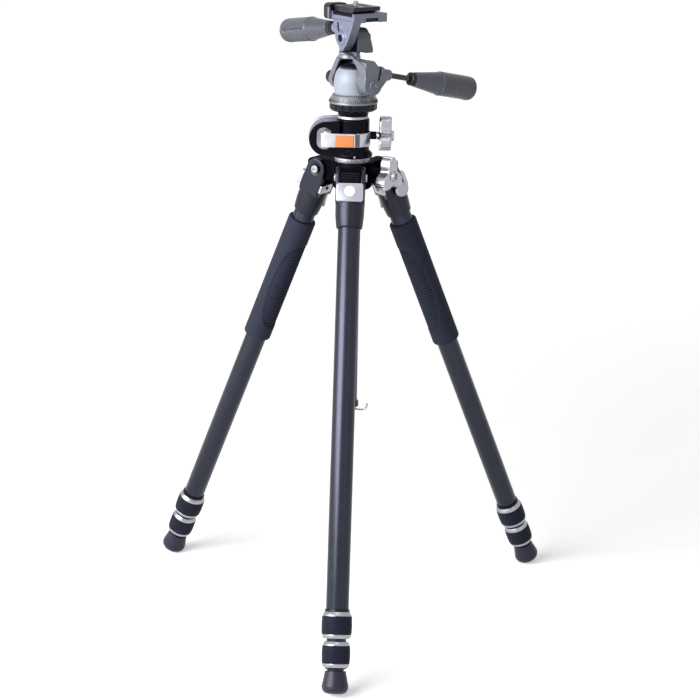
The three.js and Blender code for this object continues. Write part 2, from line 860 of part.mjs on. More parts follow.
function yoke() {
  const arch = outline([
    [yokeFront, tiltHeight - hubRadius],
    [yokeFrontInner, tiltHeight - hubRadius],
    [yokeFrontInner, tiltHeight + 9],
    [-yokeNeck + 1, yokeArch],
    [yokeNeck - 1, yokeArch],
    [yokeBackInner, tiltHeight + 9],
    [yokeBackInner, tiltHeight - hubRadius],
    [yokeBack, tiltHeight - hubRadius],
    [yokeBack, tiltHeight + 9],
    [yokeBack - 9, yokeTop - 15],
    [yokeNeck, yokeTop - 4],
    [yokeNeck, yokeTop],
    [-yokeNeck, yokeTop],
    [-yokeNeck, yokeTop - 4],
    [yokeFront + 10, yokeTop - 15],
    [yokeFront, tiltHeight + 9],
  ]);
  const side = new THREE.Shape();
  side.moveTo(yokeHalfDepth, yokeTop);
  side.lineTo(-yokeHalfDepth, yokeTop);
  side.absarc(0, tiltHeight, hubRadius, Math.PI, 2 * Math.PI);
  const body = common(
    acrossX(arch, -hubRadius - 1, hubRadius + 1),
    acrossY(side, yokeFront - 1, yokeBack + 1),
  );
  const boss = onTiltRod(handleBoss(tiltBossStart, tiltBossEnd));
  const bored = onTiltRod(handleBore(tiltBossEnd));
  const axleHole = alongY(rod(axleRadius + gap, yokeFront - 1, yokeBack + 1, smallSteps));
  return cut(joined(body, boss), bored, axleHole.translate(0, 0, tiltHeight));
}

function tiltAxle() {
  const start = yokeFront - gap - axleCapHeight;
  const axle = turned(
    [
      [0, start],
      [axleCapRadius, start],
      [axleCapRadius, yokeFront - gap],
      [axleRadius, yokeFront - gap],
      [axleRadius, yokeBack],
      [0, yokeBack],
    ],
    smallSteps,
  );
  return alongY(axle).translate(0, 0, tiltHeight);
}

function tiltKnob() {
  const face = yokeBack + gap;
  const knob = turned(
    [
      [0, face],
      [tiltKnobRadius - 1, face],
      [tiltKnobRadius, face + 2],
      [tiltKnobRadius, face + tiltKnobLength - 2],
      [tiltKnobRadius - 2, face + tiltKnobLength],
      [0, face + tiltKnobLength],
    ],
    smallSteps,
  );
  return alongY(knob).translate(0, 0, tiltHeight);
}

// The rod and its collar lie along +X, starting inside the boss.
function handleRod(bossEnd, gripStart) {
  return alongX(
    turned(
      [
        [0, bossEnd - rodDepth],
        [rodRadius, bossEnd - rodDepth],
        [rodRadius, gripStart],
        [handleCollarRadius, gripStart],
        [handleCollarRadius, gripStart + collarLength],
        [rodRadius, gripStart + collarLength],
        [rodRadius, gripStart + handleLength / 2],
        [0, gripStart + handleLength / 2],
      ],
      smallSteps,
    ),
  );
}

function handleGrip(gripStart) {
  const start = gripStart + collarLength + gap;
  const end = gripStart + collarLength + handleLength;
  return alongX(
    turned(
      [
        [rodRadius + gap, start],
        [gripNeckRadius, start],
        [handleRadius, start + handleConeLength],
        [handleRadius, end - handleRounding],
        [handleRadius - 2, end - handleRounding / 3],
        [handleRadius - handleRounding, end],
        [0, end],
        [0, gripStart + handleLength / 2 + gap],
        [rodRadius + gap, gripStart + handleLength / 2 + gap],
      ],
      24,
    ),
  );
}

function rollPost() {
  const shape = outline([
    [-postHalfWidth, yokeTop + gap],
    [postHalfWidth, yokeTop + gap],
    [postHalfWidth - 1, rollHeight],
    [postHalfWidth - 3, postTop - 2],
    [postHalfWidth - 5, postTop],
    [-postHalfWidth + 5, postTop],
    [-postHalfWidth + 3, postTop - 2],
    [-postHalfWidth + 1, rollHeight],
  ]);
  const post = acrossX(shape, postFront, postBack);
  const reach = hubRadius + 12;
  const hole = alongX(rod(rollPinRadius + gap, -reach, reach, smallSteps));
  const notch = box([yokeHalfDepth - 3, postBack + 1], [-reach, reach], [yokeTop - 1, yokeTop + 4]);
  return cut(post, hole.translate(0, 0, rollHeight), notch);
}

function rollBracket() {
  const shape = new THREE.Shape();
  shape.moveTo(platformLeft - 2, platformBottom + 1);
  shape.lineTo(platformRight, platformBottom + 1);
  shape.lineTo(bracketFlank, rollHeight + bracketFlankRise);
  shape.absarc(0, rollHeight, bracketRadius, radians(205), radians(335));
  const back = postFront - gap;
  const bracket = acrossX(shape, bracketFront, back);
  const platform = box(
    [platformFront, platformBack],
    [platformRight, platformLeft],
    [platformBottom, platformBottom + platformHeight],
  );
  const pin = alongX(rod(rollPinRadius, back - 2, postBack, smallSteps));
  const boss = onRollRod(handleBoss(0, rollBossEnd));
  const bored = onRollRod(handleBore(rollBossEnd));
  const whole = joined(bracket, platform, boss, pin.translate(0, 0, rollHeight));
  return cut(whole, bored, screwHole(platformBottom - 10, platformBottom + platformHeight + 1));
}

const plateBottom = platformBottom + platformHeight + gap;
const screwHole = (bottom, top) =>
  rod(screwRadius + gap, bottom, top, smallSteps).translate(plateForward, plateMiddle, 0);

function quickPlate() {
  const half = [plateDepth / 2, plateWidth / 2];
  const slab = box(
    [plateForward - half[0], plateForward + half[0]],
    [plateMiddle - half[1], plateMiddle + half[1]],
    [plateBottom, plateBottom + plateHeight],
  );
  return cut(slab, screwHole(plateBottom - 1, plateBottom + plateHeight + 1));
}

function cameraScrew() {
  const screw = rod(screwRadius, plateBottom + 0.5, plateBottom + plateHeight + screwProud, smallSteps);
  return screw.translate(plateForward, plateMiddle, 0);
}

// The plate's release lever has round ends seen from above, so that it can turn about its back end.
function releaseLever() {
  const length = releaseBack - releaseFront;
  const side = roundedRectangle(length, releaseHeight, releaseHeight / 2 - 1);
  const plan = roundedRectangle(length, releaseThickness, releaseThickness / 2 - 0.1);
  const bar = raised(plan, -releaseHeight / 2, releaseHeight / 2);
  const block = acrossY(side, -releaseThickness / 2, releaseThickness / 2);
  return common(bar, block).translate(
    releaseFront + length / 2,
    platformLeft + gap + releaseThickness / 2,
    platformBottom + releaseHeight / 2,
  );
}

function makeHead() {
  const group = new THREE.Group();
  const turning = new THREE.Group();
  group.add(mesh("head_neck", headNeck(), blackPaint));
  group.add(mesh("pan_lock_ring", panLockRing(), darkPlastic));
  turning.add(mesh("pan_barrel", barrel(), greyMetal));
  const cap = rod(capRadius, barrelHeight + gap, barrelHeight + gap + capHeight);
  turning.add(mesh("barrel_cap", cap, darkPlastic));
  turning.add(mesh("tilt_yoke", yoke(), greyMetal));
  turning.add(mesh("tilt_axle", tiltAxle(), greyMetal));
  turning.add(mesh("tilt_knob", tiltKnob(), darkPlastic));
  turning.add(mesh("tilt_rod", onTiltRod(handleRod(tiltBossEnd, tiltGripStart)), darkPlastic));
  turning.add(mesh("tilt_grip", onTiltRod(handleGrip(tiltGripStart)), darkMetal));
  turning.add(mesh("roll_post", rollPost(), darkMetal));
  turning.add(mesh("roll_bracket", rollBracket(), greyMetal));
  turning.add(mesh("roll_rod", onRollRod(handleRod(rollBossEnd, rollGripStart)), darkPlastic));
  turning.add(mesh("roll_grip", onRollRod(handleGrip(rollGripStart)), darkMetal));
  turning.add(mesh("quick_plate", quickPlate(), darkPlastic));
  turning.add(mesh("camera_screw", cameraScrew(), bright));
  turning.add(mesh("plate_release_lever", releaseLever(), darkPlastic));
  turning.position.z = panBottom;
  turning.rotation.z = headTurn;
  group.add(turning);
  return group;
}

// ---------- Assembly ----------
const tripod = new THREE.Group();
const atHinges = new THREE.Group();
atHinges.position.z = hingeHeight;
atHinges.add(makeLeg("front", legAzimuths.front, false, false));
atHinges.add(makeLeg("right", legAzimuths.right, true, true));
atHinges.add(makeLeg("left", legAzimuths.left, true, false));
atHinges.add(makeCrown());
const onCrown = new THREE.Group();
onCrown.position.z = clampBottom;
onCrown.add(makeClamp(), makeColumn(), makeHead());
atHinges.add(onCrown);
tripod.add(atHinges);

// The origin goes to the middle of the footprint, on the ground.
const extent = new THREE.Box3().setFromObject(tripod, true);
tripod.position.set(
  -(extent.min.x + extent.max.x) / 2,
  -(extent.min.y + extent.max.y) / 2,
  -extent.min.z,
);

export default tripod;
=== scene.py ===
"""Looks of a compact camera tripod with twist-lock legs, a turning clamp and a three-way head.

Every shape is drawn in millimetres in the frame of the piece that carries it, then set in place.
"""

import json
import math

import bmesh
import bpy
from mathutils import Matrix, Vector

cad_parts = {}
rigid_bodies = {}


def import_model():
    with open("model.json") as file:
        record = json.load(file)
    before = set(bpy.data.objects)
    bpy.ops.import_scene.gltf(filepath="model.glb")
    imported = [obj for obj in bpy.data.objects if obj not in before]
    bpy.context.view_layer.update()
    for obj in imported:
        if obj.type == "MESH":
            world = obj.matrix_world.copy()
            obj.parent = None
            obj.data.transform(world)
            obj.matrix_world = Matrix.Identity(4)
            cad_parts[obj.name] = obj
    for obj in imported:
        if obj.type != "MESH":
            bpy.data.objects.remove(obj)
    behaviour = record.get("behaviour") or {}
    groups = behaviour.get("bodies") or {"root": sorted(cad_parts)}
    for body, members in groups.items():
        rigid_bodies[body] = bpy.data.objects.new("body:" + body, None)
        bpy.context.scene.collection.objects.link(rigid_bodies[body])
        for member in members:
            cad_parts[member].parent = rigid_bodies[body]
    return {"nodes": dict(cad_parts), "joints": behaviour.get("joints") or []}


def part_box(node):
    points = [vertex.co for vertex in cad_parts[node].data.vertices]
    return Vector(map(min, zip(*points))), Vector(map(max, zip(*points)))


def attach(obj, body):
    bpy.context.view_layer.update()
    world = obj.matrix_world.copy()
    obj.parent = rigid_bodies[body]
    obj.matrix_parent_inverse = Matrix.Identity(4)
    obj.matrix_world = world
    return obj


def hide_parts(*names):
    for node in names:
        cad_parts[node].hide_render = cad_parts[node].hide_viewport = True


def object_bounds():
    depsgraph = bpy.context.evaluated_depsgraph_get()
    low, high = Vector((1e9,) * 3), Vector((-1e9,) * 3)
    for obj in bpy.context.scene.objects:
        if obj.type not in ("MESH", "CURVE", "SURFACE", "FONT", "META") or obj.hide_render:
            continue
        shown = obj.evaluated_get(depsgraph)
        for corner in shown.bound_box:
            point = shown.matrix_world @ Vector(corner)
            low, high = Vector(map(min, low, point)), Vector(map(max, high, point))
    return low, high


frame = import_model()
cad_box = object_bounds()

# ---------- Leg tubes ----------
# Each leg is three drawn aluminium tubes, one inside the next, anodised a satin blue-black.
# Only the thick upper one shows while the leg is closed; the others slide out of it.
MM = Matrix.Scale(0.001, 4)
SIDES = ("front", "right", "left")
TUBE_WALL = 1.3
CLEARANCE = 0.3
joints = {joint["name"]: joint for joint in frame["joints"]}


def placed(origin, x, y, z):
    """The matrix from millimetres along axes x, y and z at an origin to the tripod's metres."""
    turn = Matrix([Vector(axis).normalized() for axis in (x, y, z)]).transposed()
    return Matrix.Translation(Vector(origin)) @ turn.to_4x4() @ MM


def leg_frame(side):
    """Across, outwards and up the leg, from its hinge."""
    hinge = joints[f"{side}_leg_splay"]
    across = Vector(hinge["axis"])
    up = Vector(joints[f"{side}_upper_lock_twist"]["axis"])
    return placed(hinge["pos_m"], across, up.cross(across), up)


def reach(node, place):
    """The lowest and highest corner of a CAD node in millimetres along the axes of place."""
    back = place.inverted()
    points = [back @ v.co for v in frame["nodes"][node].data.vertices]
    return [Vector(pick(p[i] for p in points) for i in range(3)) for pick in (min, max)]


def eased(points, corner, closed):
    """A chain of (radius, height) points with its corners rounded off."""
    chain = []
    for i, point in enumerate(points):
        here = Vector(point[:2])
        if not closed and i in (0, len(points) - 1):
            chain.append(here)
            continue
        size = point[2] if len(point) > 2 else corner
        before = Vector(points[i - 1][:2]) - here
        after = Vector(points[(i + 1) % len(points)][:2]) - here
        size = min(size, 0.45 * before.length, 0.45 * after.length)
        start, end = here + size * before.normalized(), here + size * after.normalized()
        for t in (0, 0.35, 0.65, 1):
            chain.append(start.lerp(here, t).lerp(here.lerp(end, t), t))
    return chain


def above(base, points):
    """(radius, height) points whose heights are measured from a base height."""
    return [(radius, base + height, *corner) for radius, height, *corner in points]


def turned(points, corner=0.3, closed=False, steps=72):
    """A body turned about Z from (radius, height) points; a closed one is a ring."""
    shape = bmesh.new()
    chain = [shape.verts.new((r, 0, height)) for r, height in eased(points, corner, closed)]
    pairs = list(zip(chain, chain[1:]))
    if closed:
        pairs.append((chain[-1], chain[0]))
    edges = [shape.edges.new(pair) for pair in pairs]
    turn = {"axis": (0, 0, 1), "cent": (0, 0, 0), "angle": 2 * math.pi, "steps": steps}
    bmesh.ops.spin(shape, geom=chain + edges, use_merge=True, **turn)
    bmesh.ops.remove_doubles(shape, verts=shape.verts, dist=1e-4)
    bmesh.ops.recalc_face_normals(shape, faces=shape.faces)
    return shape


def pipe(inner, outer, low, high, corner=0.3, steps=72):
    """A tube about Z between two heights."""
    ends = [(inner, low), (outer, low), (outer, high), (inner, high)]
    return turned(ends, corner, closed=True, steps=steps)


def feed(tree, node, inputs):
    """Gives each input of a shader node a value or another node's output."""
    for name, value in inputs.items():
        if isinstance(value, bpy.types.NodeSocket):
            tree.links.new(value, node.inputs[name])
        else:
            node.inputs[name].default_value = value


def shader_node(tree, kind, inputs=(), output=0, **settings):
    """Makes a shader node with its inputs and settings, and returns one of its outputs."""
    made = tree.nodes.new(kind)
    for name, value in settings.items():
        setattr(made, name, value)
    feed(tree, made, dict(inputs))
    return made.outputs[output]


def finish(
    name, colour, roughness, metallic=0.0, grain=0.25, bump=0.05, spread=0.12, shine=0.5,
    lines=None,
):
    """A paint, plastic, rubber or metal whose colour, roughness and relief follow a fine grain.

    grain is the size of the grain in millimetres, and lines stretches it along the piece's axes.
    """
    paint = bpy.data.materials.new(name)
    paint.use_nodes = True
    tree = paint.node_tree
    local = shader_node(tree, "ShaderNodeAttribute", output="Vector", attribute_name="local")
    drawn = shader_node(tree, "ShaderNodeMapping", {"Vector": local, "Scale": lines or (1, 1, 1)})
    fine = {"Vector": drawn, "Scale": 1 / grain, "Detail": 3}
    fine = shader_node(tree, "ShaderNodeTexNoise", fine)
    broad = shader_node(tree, "ShaderNodeTexNoise", {"Vector": local, "Scale": 0.06, "Detail": 4})
    half = shader_node(tree, "ShaderNodeMath", {0: broad, 1: 0.5}, operation="MULTIPLY")
    both = shader_node(tree, "ShaderNodeMath", {0: fine, 1: 0.5, 2: half}, operation="MULTIPLY_ADD")
    dark, light = ([min(1, c * scale) for c in colour] + [1] for scale in (1 - spread, 1 + spread))
    tint = {"Factor": both, "A": dark, "B": light}
    tint = shader_node(tree, "ShaderNodeMix", tint, "Result", data_type="RGBA")
    least, most = roughness * 0.85, min(1, roughness * 1.15)
    ends = {"From Min": 0.3, "From Max": 0.7, "To Min": least, "To Max": most}
    gloss = shader_node(tree, "ShaderNodeMapRange", {"Value": both, **ends})
    relief = {"Height": fine, "Strength": bump, "Distance": 0.0002}
    relief = shader_node(tree, "ShaderNodeBump", relief)
    level = {"Metallic": metallic, "Specular IOR Level": shine}
    shown = {"Base Color": tint, "Roughness": gloss, "Normal": relief}
    feed(tree, tree.nodes["Principled BSDF"], {**level, **shown})
    return paint


def linked(name, data):
    """A new object in the scene that shows data."""
    made = bpy.data.objects.new(name, data)
    bpy.context.scene.collection.objects.link(made)
    return made


def add(name, shape, place, paint, body, slot, *nodes, sharp=38):
    """Sets a shape in place as a piece that rides on a body and stands for its CAD nodes."""
    mesh = bpy.data.meshes.new(name)
    shape.to_mesh(mesh)
    shape.free()
    local = mesh.attributes.new("local", "FLOAT_VECTOR", "POINT")
    local.data.foreach_set("vector", [c for v in mesh.vertices for c in v.co])
    mesh.transform(place)
    mesh.shade_smooth()
    mesh.set_sharp_from_angle(angle=math.radians(sharp))
    mesh.materials.append(paint)
    piece = linked(name, mesh)
    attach(piece, body)
    if nodes:
        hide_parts(*nodes)
    return piece


legs = {side: leg_frame(side) for side in SIDES}
tube_black = finish(
    "anodised_tube", (0.036, 0.039, 0.053), 0.3, 1.0, grain=0.35, bump=0.04, lines=(1, 1, 0.08)
)
tube_radius = {}
for side, leg in legs.items():
    for stage, body in (("upper", "leg"), ("middle", "middle_section"), ("lower", "lower_section")):
        node = f"{side}_{stage}_tube"
        low, high = reach(node, leg)
        tube_radius[stage] = high.x
        tube = pipe(high.x - TUBE_WALL, high.x, low.z, high.z, 0.25, 96)
        add(f"{side}_{stage}_leg_tube", tube, leg, tube_black, f"{side}_{body}", "leg_paint", node)

# ---------- Twist locks ----------
# A black plastic nut with a bright ring at each end and a rubber sleeve between them, moulded all
# over with small square studs. The upper lock also has a black collar where the tube goes in.
RING = 4.7
STUD_COLUMNS = 64
STUD_PITCH = 1.55
STUD_GAP = 0.3
STUD_HEIGHT = 0.45
nut_black = finish("lock_nut_plastic", (0.005, 0.005, 0.008), 0.3, shine=0.2)
ring_metal = finish(
    "turned_aluminium", (0.36, 0.36, 0.39), 0.26, 1.0, grain=0.5, bump=0.03, spread=0.08,
    lines=(0.05, 0.05, 1),
)
sleeve_rubber = finish(
    "lock_sleeve_rubber", (0.016, 0.018, 0.034), 0.5, grain=0.2, bump=0.12, shine=0.15
)


def studded_sleeve(radius, low, high):
    """A rubber sleeve, a little fuller in the middle, with a grid of raised studs outside."""
    rows = round((high - low) / STUD_PITCH)
    outer = []
    for i in range(rows + 1):
        t = i / rows
        outer.append((radius - 0.75 + 0.5 * math.sin(math.pi * t) ** 0.6, low + (high - low) * t))
    shape = turned([(radius - 2, low), *outer, (radius - 2, high)], 0, True, STUD_COLUMNS)
    wall = [
        face for face in shape.faces
        if abs(face.normal.z) < 0.6 and face.calc_center_median().xy.length > radius - 1.6
    ]
    stud = {"thickness": STUD_GAP, "depth": STUD_HEIGHT}
    bmesh.ops.inset_individual(shape, faces=wall, use_even_offset=True, **stud)
    return shape


for side, leg in legs.items():
    for stage, inner, collar, tail in (("upper", "middle", 3.0, 0.0), ("lower", "lower", 0.0, 1.5)):
        node = body = f"{side}_{stage}_lock"
        low, high = reach(node, leg)
        radius, bore = high.x, tube_radius[inner] + CLEARANCE
        wide = tube_radius["upper" if stage == "upper" else "middle"] + CLEARANCE
        top, bottom = high.z - collar, low.z + tail
        core = [
            (wide, high.z - 8), (wide, high.z), (wide + 0.9, high.z), (wide + 0.9, top),
            (radius - 3, top - RING / 2), (radius - 1.7, top - RING), (radius - 1.7, bottom + RING),
            (radius - 3.2, bottom + 1), (radius - 4, bottom), (radius - 4, low.z), (bore, low.z),
            (bore, high.z - 8),
        ]
        nut = turned(core, 0.3, True)
        add(f"{node}_nut", nut, leg, nut_black, body, "rubber", node)
        upper_ring = [
            (wide + 0.9, top + 0.02), (radius - 2.7, top), (radius - 0.9, top - 3.1, 0.8),
            (radius - 0.45, top - RING), (radius - 1.8, top - RING), (wide + 0.9, top - 1.2),
        ]
        lower_ring = [
            (radius - 1.8, bottom + RING), (radius - 0.5, bottom + RING),
            (radius - 0.7, bottom + 2.2, 1.2), (radius - 2.2, bottom, 0.8), (radius - 3.9, bottom),
            (radius - 2.6, bottom + 2),
        ]
        for place, profile in (("top", upper_ring), ("bottom", lower_ring)):
            ring = turned(profile, 0.25, True, 96)
            add(f"{node}_{place}_ring", ring, leg, ring_metal, body, "bright_aluminium")
        sleeve = studded_sleeve(radius, bottom + RING, top - RING)
        add(f"{node}_sleeve", sleeve, leg, sleeve_rubber, body, "rubber", sharp=25)

# ---------- Feet ----------
# Moulded rubber boots pushed over the lower tube: narrow at the neck, wider to a rounded tread,
# with a fine mould line above the tread.
foot_rubber = finish("foot_rubber", (0.02, 0.021, 0.037), 0.36, grain=0.3, bump=0.08, shine=0.25)
for side, leg in legs.items():
    low, high = reach(f"{side}_foot", leg)
    radius, bore = high.x, tube_radius["lower"] + CLEARANCE
    neck = [(0, -14.3), (bore, -14.3), (bore, 0), (12, 0, 0.8), (12.4, -3, 2)]
    tread = [
        (radius - 0.1, 9.2, 3), (radius, 7.6), (radius - 0.45, 7.2), (radius - 0.2, 6.7),
        (radius - 1.1, 3.9, 2), (radius - 3.2, 1.3, 2), (radius - 7.3, 0, 2), (0, 0),
    ]
    boot = turned(above(high.z, neck) + above(low.z, tread), 0.3)
    body = f"{side}_lower_section"
    add(f"{side}_rubber_foot", boot, leg, foot_rubber, body, "rubber", f"{side}_foot")

# ---------- Foam grips ----------
# Closed-cell foam sleeves on the two rear legs. Each has a long panel of moulded finger ribs that
# covers its inner half, with round ends, and a soft rolled edge at top and bottom.
RIB_PITCH = 3.7
RIB_DEPTH = 1.4
PANEL_INSET = 0.5
GRIP_ROW = 0.55
PANEL_LOW = 0.11
PANEL_HIGH = 0.82
foam = finish(
    "grip_foam", (0.024, 0.028, 0.046), 0.7, grain=0.45, bump=0.35, spread=0.25, shine=0.12
)


def in_panel(angle, height, panel_low, panel_high):
    """How deep inside the ribbed panel a point of the sleeve lies, from 0 to 1."""
    middle, half = (panel_low + panel_high) / 2, (panel_high - panel_low) / 2
    along = min(1, abs(height - middle) / half)
    width = math.radians(60 + 28 * (1 - along**2)) * (1 - along**8) ** 0.5
    inside = (width - abs(angle)) / math.radians(5)
    return max(0.0, min(1.0, inside))


def grip_sleeve(radius, bore, low, high):
    """A foam sleeve with finger ribs sunk into its panel."""
    rows = round((high - low - 4) / GRIP_ROW)
    wall = [(radius, low + 2 + (high - low - 4) * i / rows, 0) for i in range(rows + 1)]
    edge = [(bore, low), (radius - 1.4, low, 0.6), (radius - 0.3, low + 0.9, 0.5)]
    rim = [(radius - 0.3, high - 0.9, 0.5), (radius - 1.4, high, 0.6), (bore, high)]
    shape = turned([*edge, *wall, *rim], 0.3, True, 120)
    panel_low, panel_high = (low + share * (high - low) for share in (PANEL_LOW, PANEL_HIGH))
    for vert in shape.verts:
        if vert.co.xy.length < radius - 0.1:
            continue
        angle = abs(math.atan2(vert.co.x, -vert.co.y))
        depth = in_panel(angle, vert.co.z, panel_low, panel_high)
        rib = 0.5 - 0.5 * math.cos(2 * math.pi * (vert.co.z - panel_low) / RIB_PITCH)
        sink = depth * (PANEL_INSET + RIB_DEPTH * (1 - rib) ** 2)
        vert.co.xy *= (radius - sink) / radius
    return shape


for side in ("right", "left"):
    low, high = reach(f"{side}_foam_grip", legs[side])
    sleeve = grip_sleeve(high.x, tube_radius["upper"] + CLEARANCE, low.z, high.z)
    name, body, node = f"{side}_grip_sleeve", f"{side}_leg", f"{side}_foam_grip"
    grip = add(name, sleeve, legs[side], foam, body, "foam", node)

# ---------- Leg shoulders ----------
# Castings that hinge on the crown: a fork of two round ears, a solid bridge under it and a tapered
# neck that holds the tube. Painted satin black, with softened edges as cast alloy has.
SHOULDER_WIDTH = 34
SHOULDER_DEPTH = 30
LUG_WIDTH = 24.4
HINGE_BORE = 3.3
cast_black = finish("cast_black_paint", (0.03, 0.031, 0.042), 0.34, 1.0, grain=0.7, bump=0.06)


def arc(x, y, radius, start, end, steps=16):
    """Points of an arc between two angles in degrees."""
    turns = [math.radians(start + (end - start) * i / steps) for i in range(steps + 1)]
    return [(x + radius * math.cos(turn), y + radius * math.sin(turn)) for turn in turns]


def slab(outline, low, high):
    """An outline in X and Y raised from low to high."""
    shape = bmesh.new()
    base = shape.faces.new([shape.verts.new((x, y, low)) for x, y in outline])
    raised = bmesh.ops.extrude_face_region(shape, geom=[base])["geom"]
    top = [v for v in raised if isinstance(v, bmesh.types.BMVert)]
    bmesh.ops.translate(shape, vec=(0, 0, high - low), verts=top)
    bmesh.ops.recalc_face_normals(shape, faces=shape.faces)
    return shape


def moved(shape, matrix):
    shape.transform(matrix)
    return shape


def about_x(angle):
    return Matrix.Rotation(math.radians(angle), 4, "X")


def about_y(angle):
    return Matrix.Rotation(math.radians(angle), 4, "Y")


def about_z(angle):
    return Matrix.Rotation(math.radians(angle), 4, "Z")


def shift(x, y, z):
    return Matrix.Translation((x, y, z))


SIDE_ON = Matrix(((0, 0, 1, 0), (1, 0, 0, 0), (0, 1, 0, 0), (0, 0, 0, 1)))
FACE_ON = about_x(90)
ALONG_X = about_y(90)
ALONG_Y = about_x(-90)


def across_x(outline, low, high):
    """An outline in Y and Z that spans X from low to high."""
    return moved(slab(outline, low, high), SIDE_ON)


def across_y(outline, low, high):
    """An outline in X and Z that spans Y from low to high."""
    return moved(slab(outline, -high, -low), FACE_ON)


def rod(radius, low, high, steps=48, corner=0):
    """A round bar about Z between two heights."""
    return turned([(0, low), (radius, low), (radius, high), (0, high)], corner, steps=steps)


def box(x, y, z):
    """A block between the two ends given on each axis."""
    shape = bmesh.new()
    bmesh.ops.create_cube(shape, size=1)
    ends = list(zip(x, y, z))
    size = [b - a for a, b in zip(*ends)]
    middle = [(a + b) / 2 for a, b in zip(*ends)]
    return moved(shape, Matrix.Translation(middle) @ Matrix.Diagonal((*size, 1)))


def gathered(shapes):
    """Several shapes as one."""
    whole = bmesh.new()
    scratch = bpy.data.meshes.new("scratch")
    for shape in shapes:
        shape.to_mesh(scratch)
        whole.from_mesh(scratch)
        shape.free()
    bpy.data.meshes.remove(scratch)
    return whole


def loose(name, shapes):
    """One scratch object that holds several shapes."""
    mesh = bpy.data.meshes.new(name)
    whole = gathered(shapes)
    whole.to_mesh(mesh)
    whole.free()
    return linked(name, mesh)


def combine(body, tool, operation):
    """Gives a scratch object a boolean with a second one."""
    boolean = body.modifiers.new("boolean", "BOOLEAN")
    boolean.operation = operation
    boolean.object = tool
    return boolean


def settled(*scratch):
    """The first scratch object's shape with its modifiers; every scratch object is removed."""
    bpy.context.view_layer.update()
    result = scratch[0].evaluated_get(bpy.context.evaluated_depsgraph_get())
    shape = bmesh.new()
    shape.from_mesh(result.to_mesh())
    result.to_mesh_clear()
    bpy.data.batch_remove([item for made in scratch for item in (made, made.data)])
    return shape


def cast(parts, cuts=(), voxel=0.6, softness=4):
    """Parts melted into one casting with soft edges, less the cuts."""
    scratch = [loose("melt", parts)]
    if cuts:
        scratch.append(loose("cut", cuts))
        combine(*scratch, "DIFFERENCE").use_self = True
    melt = scratch[0].modifiers.new("melt", "REMESH")
    melt.mode = "VOXEL"
    melt.voxel_size = voxel
    soften = scratch[0].modifiers.new("soften", "SMOOTH")
    soften.factor = 0.5
    soften.iterations = softness
    return settled(*scratch)


def bevelled(shape, size, angle=40, segments=3):
    """The same shape with its sharp edges rounded."""
    bmesh.ops.remove_doubles(shape, verts=shape.verts, dist=1e-4)
    sharp = [
        edge for edge in shape.edges
        if len(edge.link_faces) == 2 and math.degrees(edge.calc_face_angle()) > angle
    ]
    rounding = {"affect": "EDGES", "segments": segments, "profile": 0.5, "material": -1}
    bmesh.ops.bevel(shape, geom=sharp, offset=size, clamp_overlap=True, **rounding)
    return shape


def shoulder():
    """One leg's fork, with its socket for the tube."""
    low, high = reach("front_leg_shoulder", legs["front"])
    end, half = low.z, SHOULDER_DEPTH / 2
    ear = [
        (-half, -33), (half - 2.6, -33), (half - 2.4, -7), *arc(0, 0, half - 2.2, 8, 180),
        (-half, -13),
    ]
    ears = bevelled(across_x(ear, -SHOULDER_WIDTH / 2, SHOULDER_WIDTH / 2), 1.8, 60)
    neck = turned([
        (0, end), (15, end, 1), (15.6, end + 4, 2), (16.8, end + 16, 4), (16.8, -26), (0, -26)
    ])
    slot = box((-LUG_WIDTH / 2 - 0.3, LUG_WIDTH / 2 + 0.3), (-30, 30), (-15.5, 30))
    socket = rod(tube_radius["upper"] + CLEARANCE, end - 5, -40)
    hole = moved(rod(HINGE_BORE, -30, 30), ALONG_X)
    dish = [moved(rod(7, *ends), ALONG_X) for ends in ((16.2, 30), (-30, -16.2))]
    trims = []
    for x in (-1, 1):
        for y in (-1, 1):
            wedge = box((-9, 9), (-9, 9), (-18, 18))
            lean = about_y(17 * x) @ about_x(-17 * y) @ about_z(45)
            trims.append(moved(wedge, shift(x * 24.5, y * 22.5, -34) @ lean))
    return cast([ears, neck], [slot, socket, hole, *dish, *trims], 0.6, 5)


one_shoulder = shoulder()
for side, leg in legs.items():
    casting, node = one_shoulder.copy(), f"{side}_leg_shoulder"
    name, body = f"{side}_shoulder_casting", f"{side}_leg"
    add(name, casting, leg, cast_black, body, "black_paint", node)
one_shoulder.free()

# ---------- Hinge screws, angle tabs and side knob ----------
# A bright screw with a socket in each head is a leg's hinge. A sprung alloy plate with a pale round
# inlay stops the splay on the fork's outer face, and a bright plate, a strip and a black pin sit on
# the inner one. The right fork also has a round thumb knob.
BOLT_RADIUS = 3
BOLT_HEAD_RADIUS = 4.6
TAB_CORNER = 3
FRONT_TAB_EXTRA = 2.6
INLAY_RADIUS = 6.4
satin_silver = finish(
    "satin_silver", (0.42, 0.42, 0.49), 0.36, 1.0, grain=0.3, bump=0.05, spread=0.06
)
knob_silver = finish(
    "tumbled_aluminium", (0.4, 0.4, 0.44), 0.28, 1.0, grain=0.5, bump=0.06, spread=0.06
)
white_mark = finish("white_mark_paint", (0.7, 0.7, 0.72), 0.5)
pit_black = finish("black_plastic_pin", (0.003, 0.003, 0.006), 0.45, shine=0.1)


def rounded(width, height, corner, x=0, y=0):
    """A rounded rectangle about (x, y)."""
    points = []
    for sign_x, sign_y, start in ((1, -1, -90), (1, 1, 0), (-1, 1, 90), (-1, -1, 180)):
        middle = x + sign_x * (width / 2 - corner), y + sign_y * (height / 2 - corner)
        points += arc(*middle, corner, start, start + 90, 6)
    return points


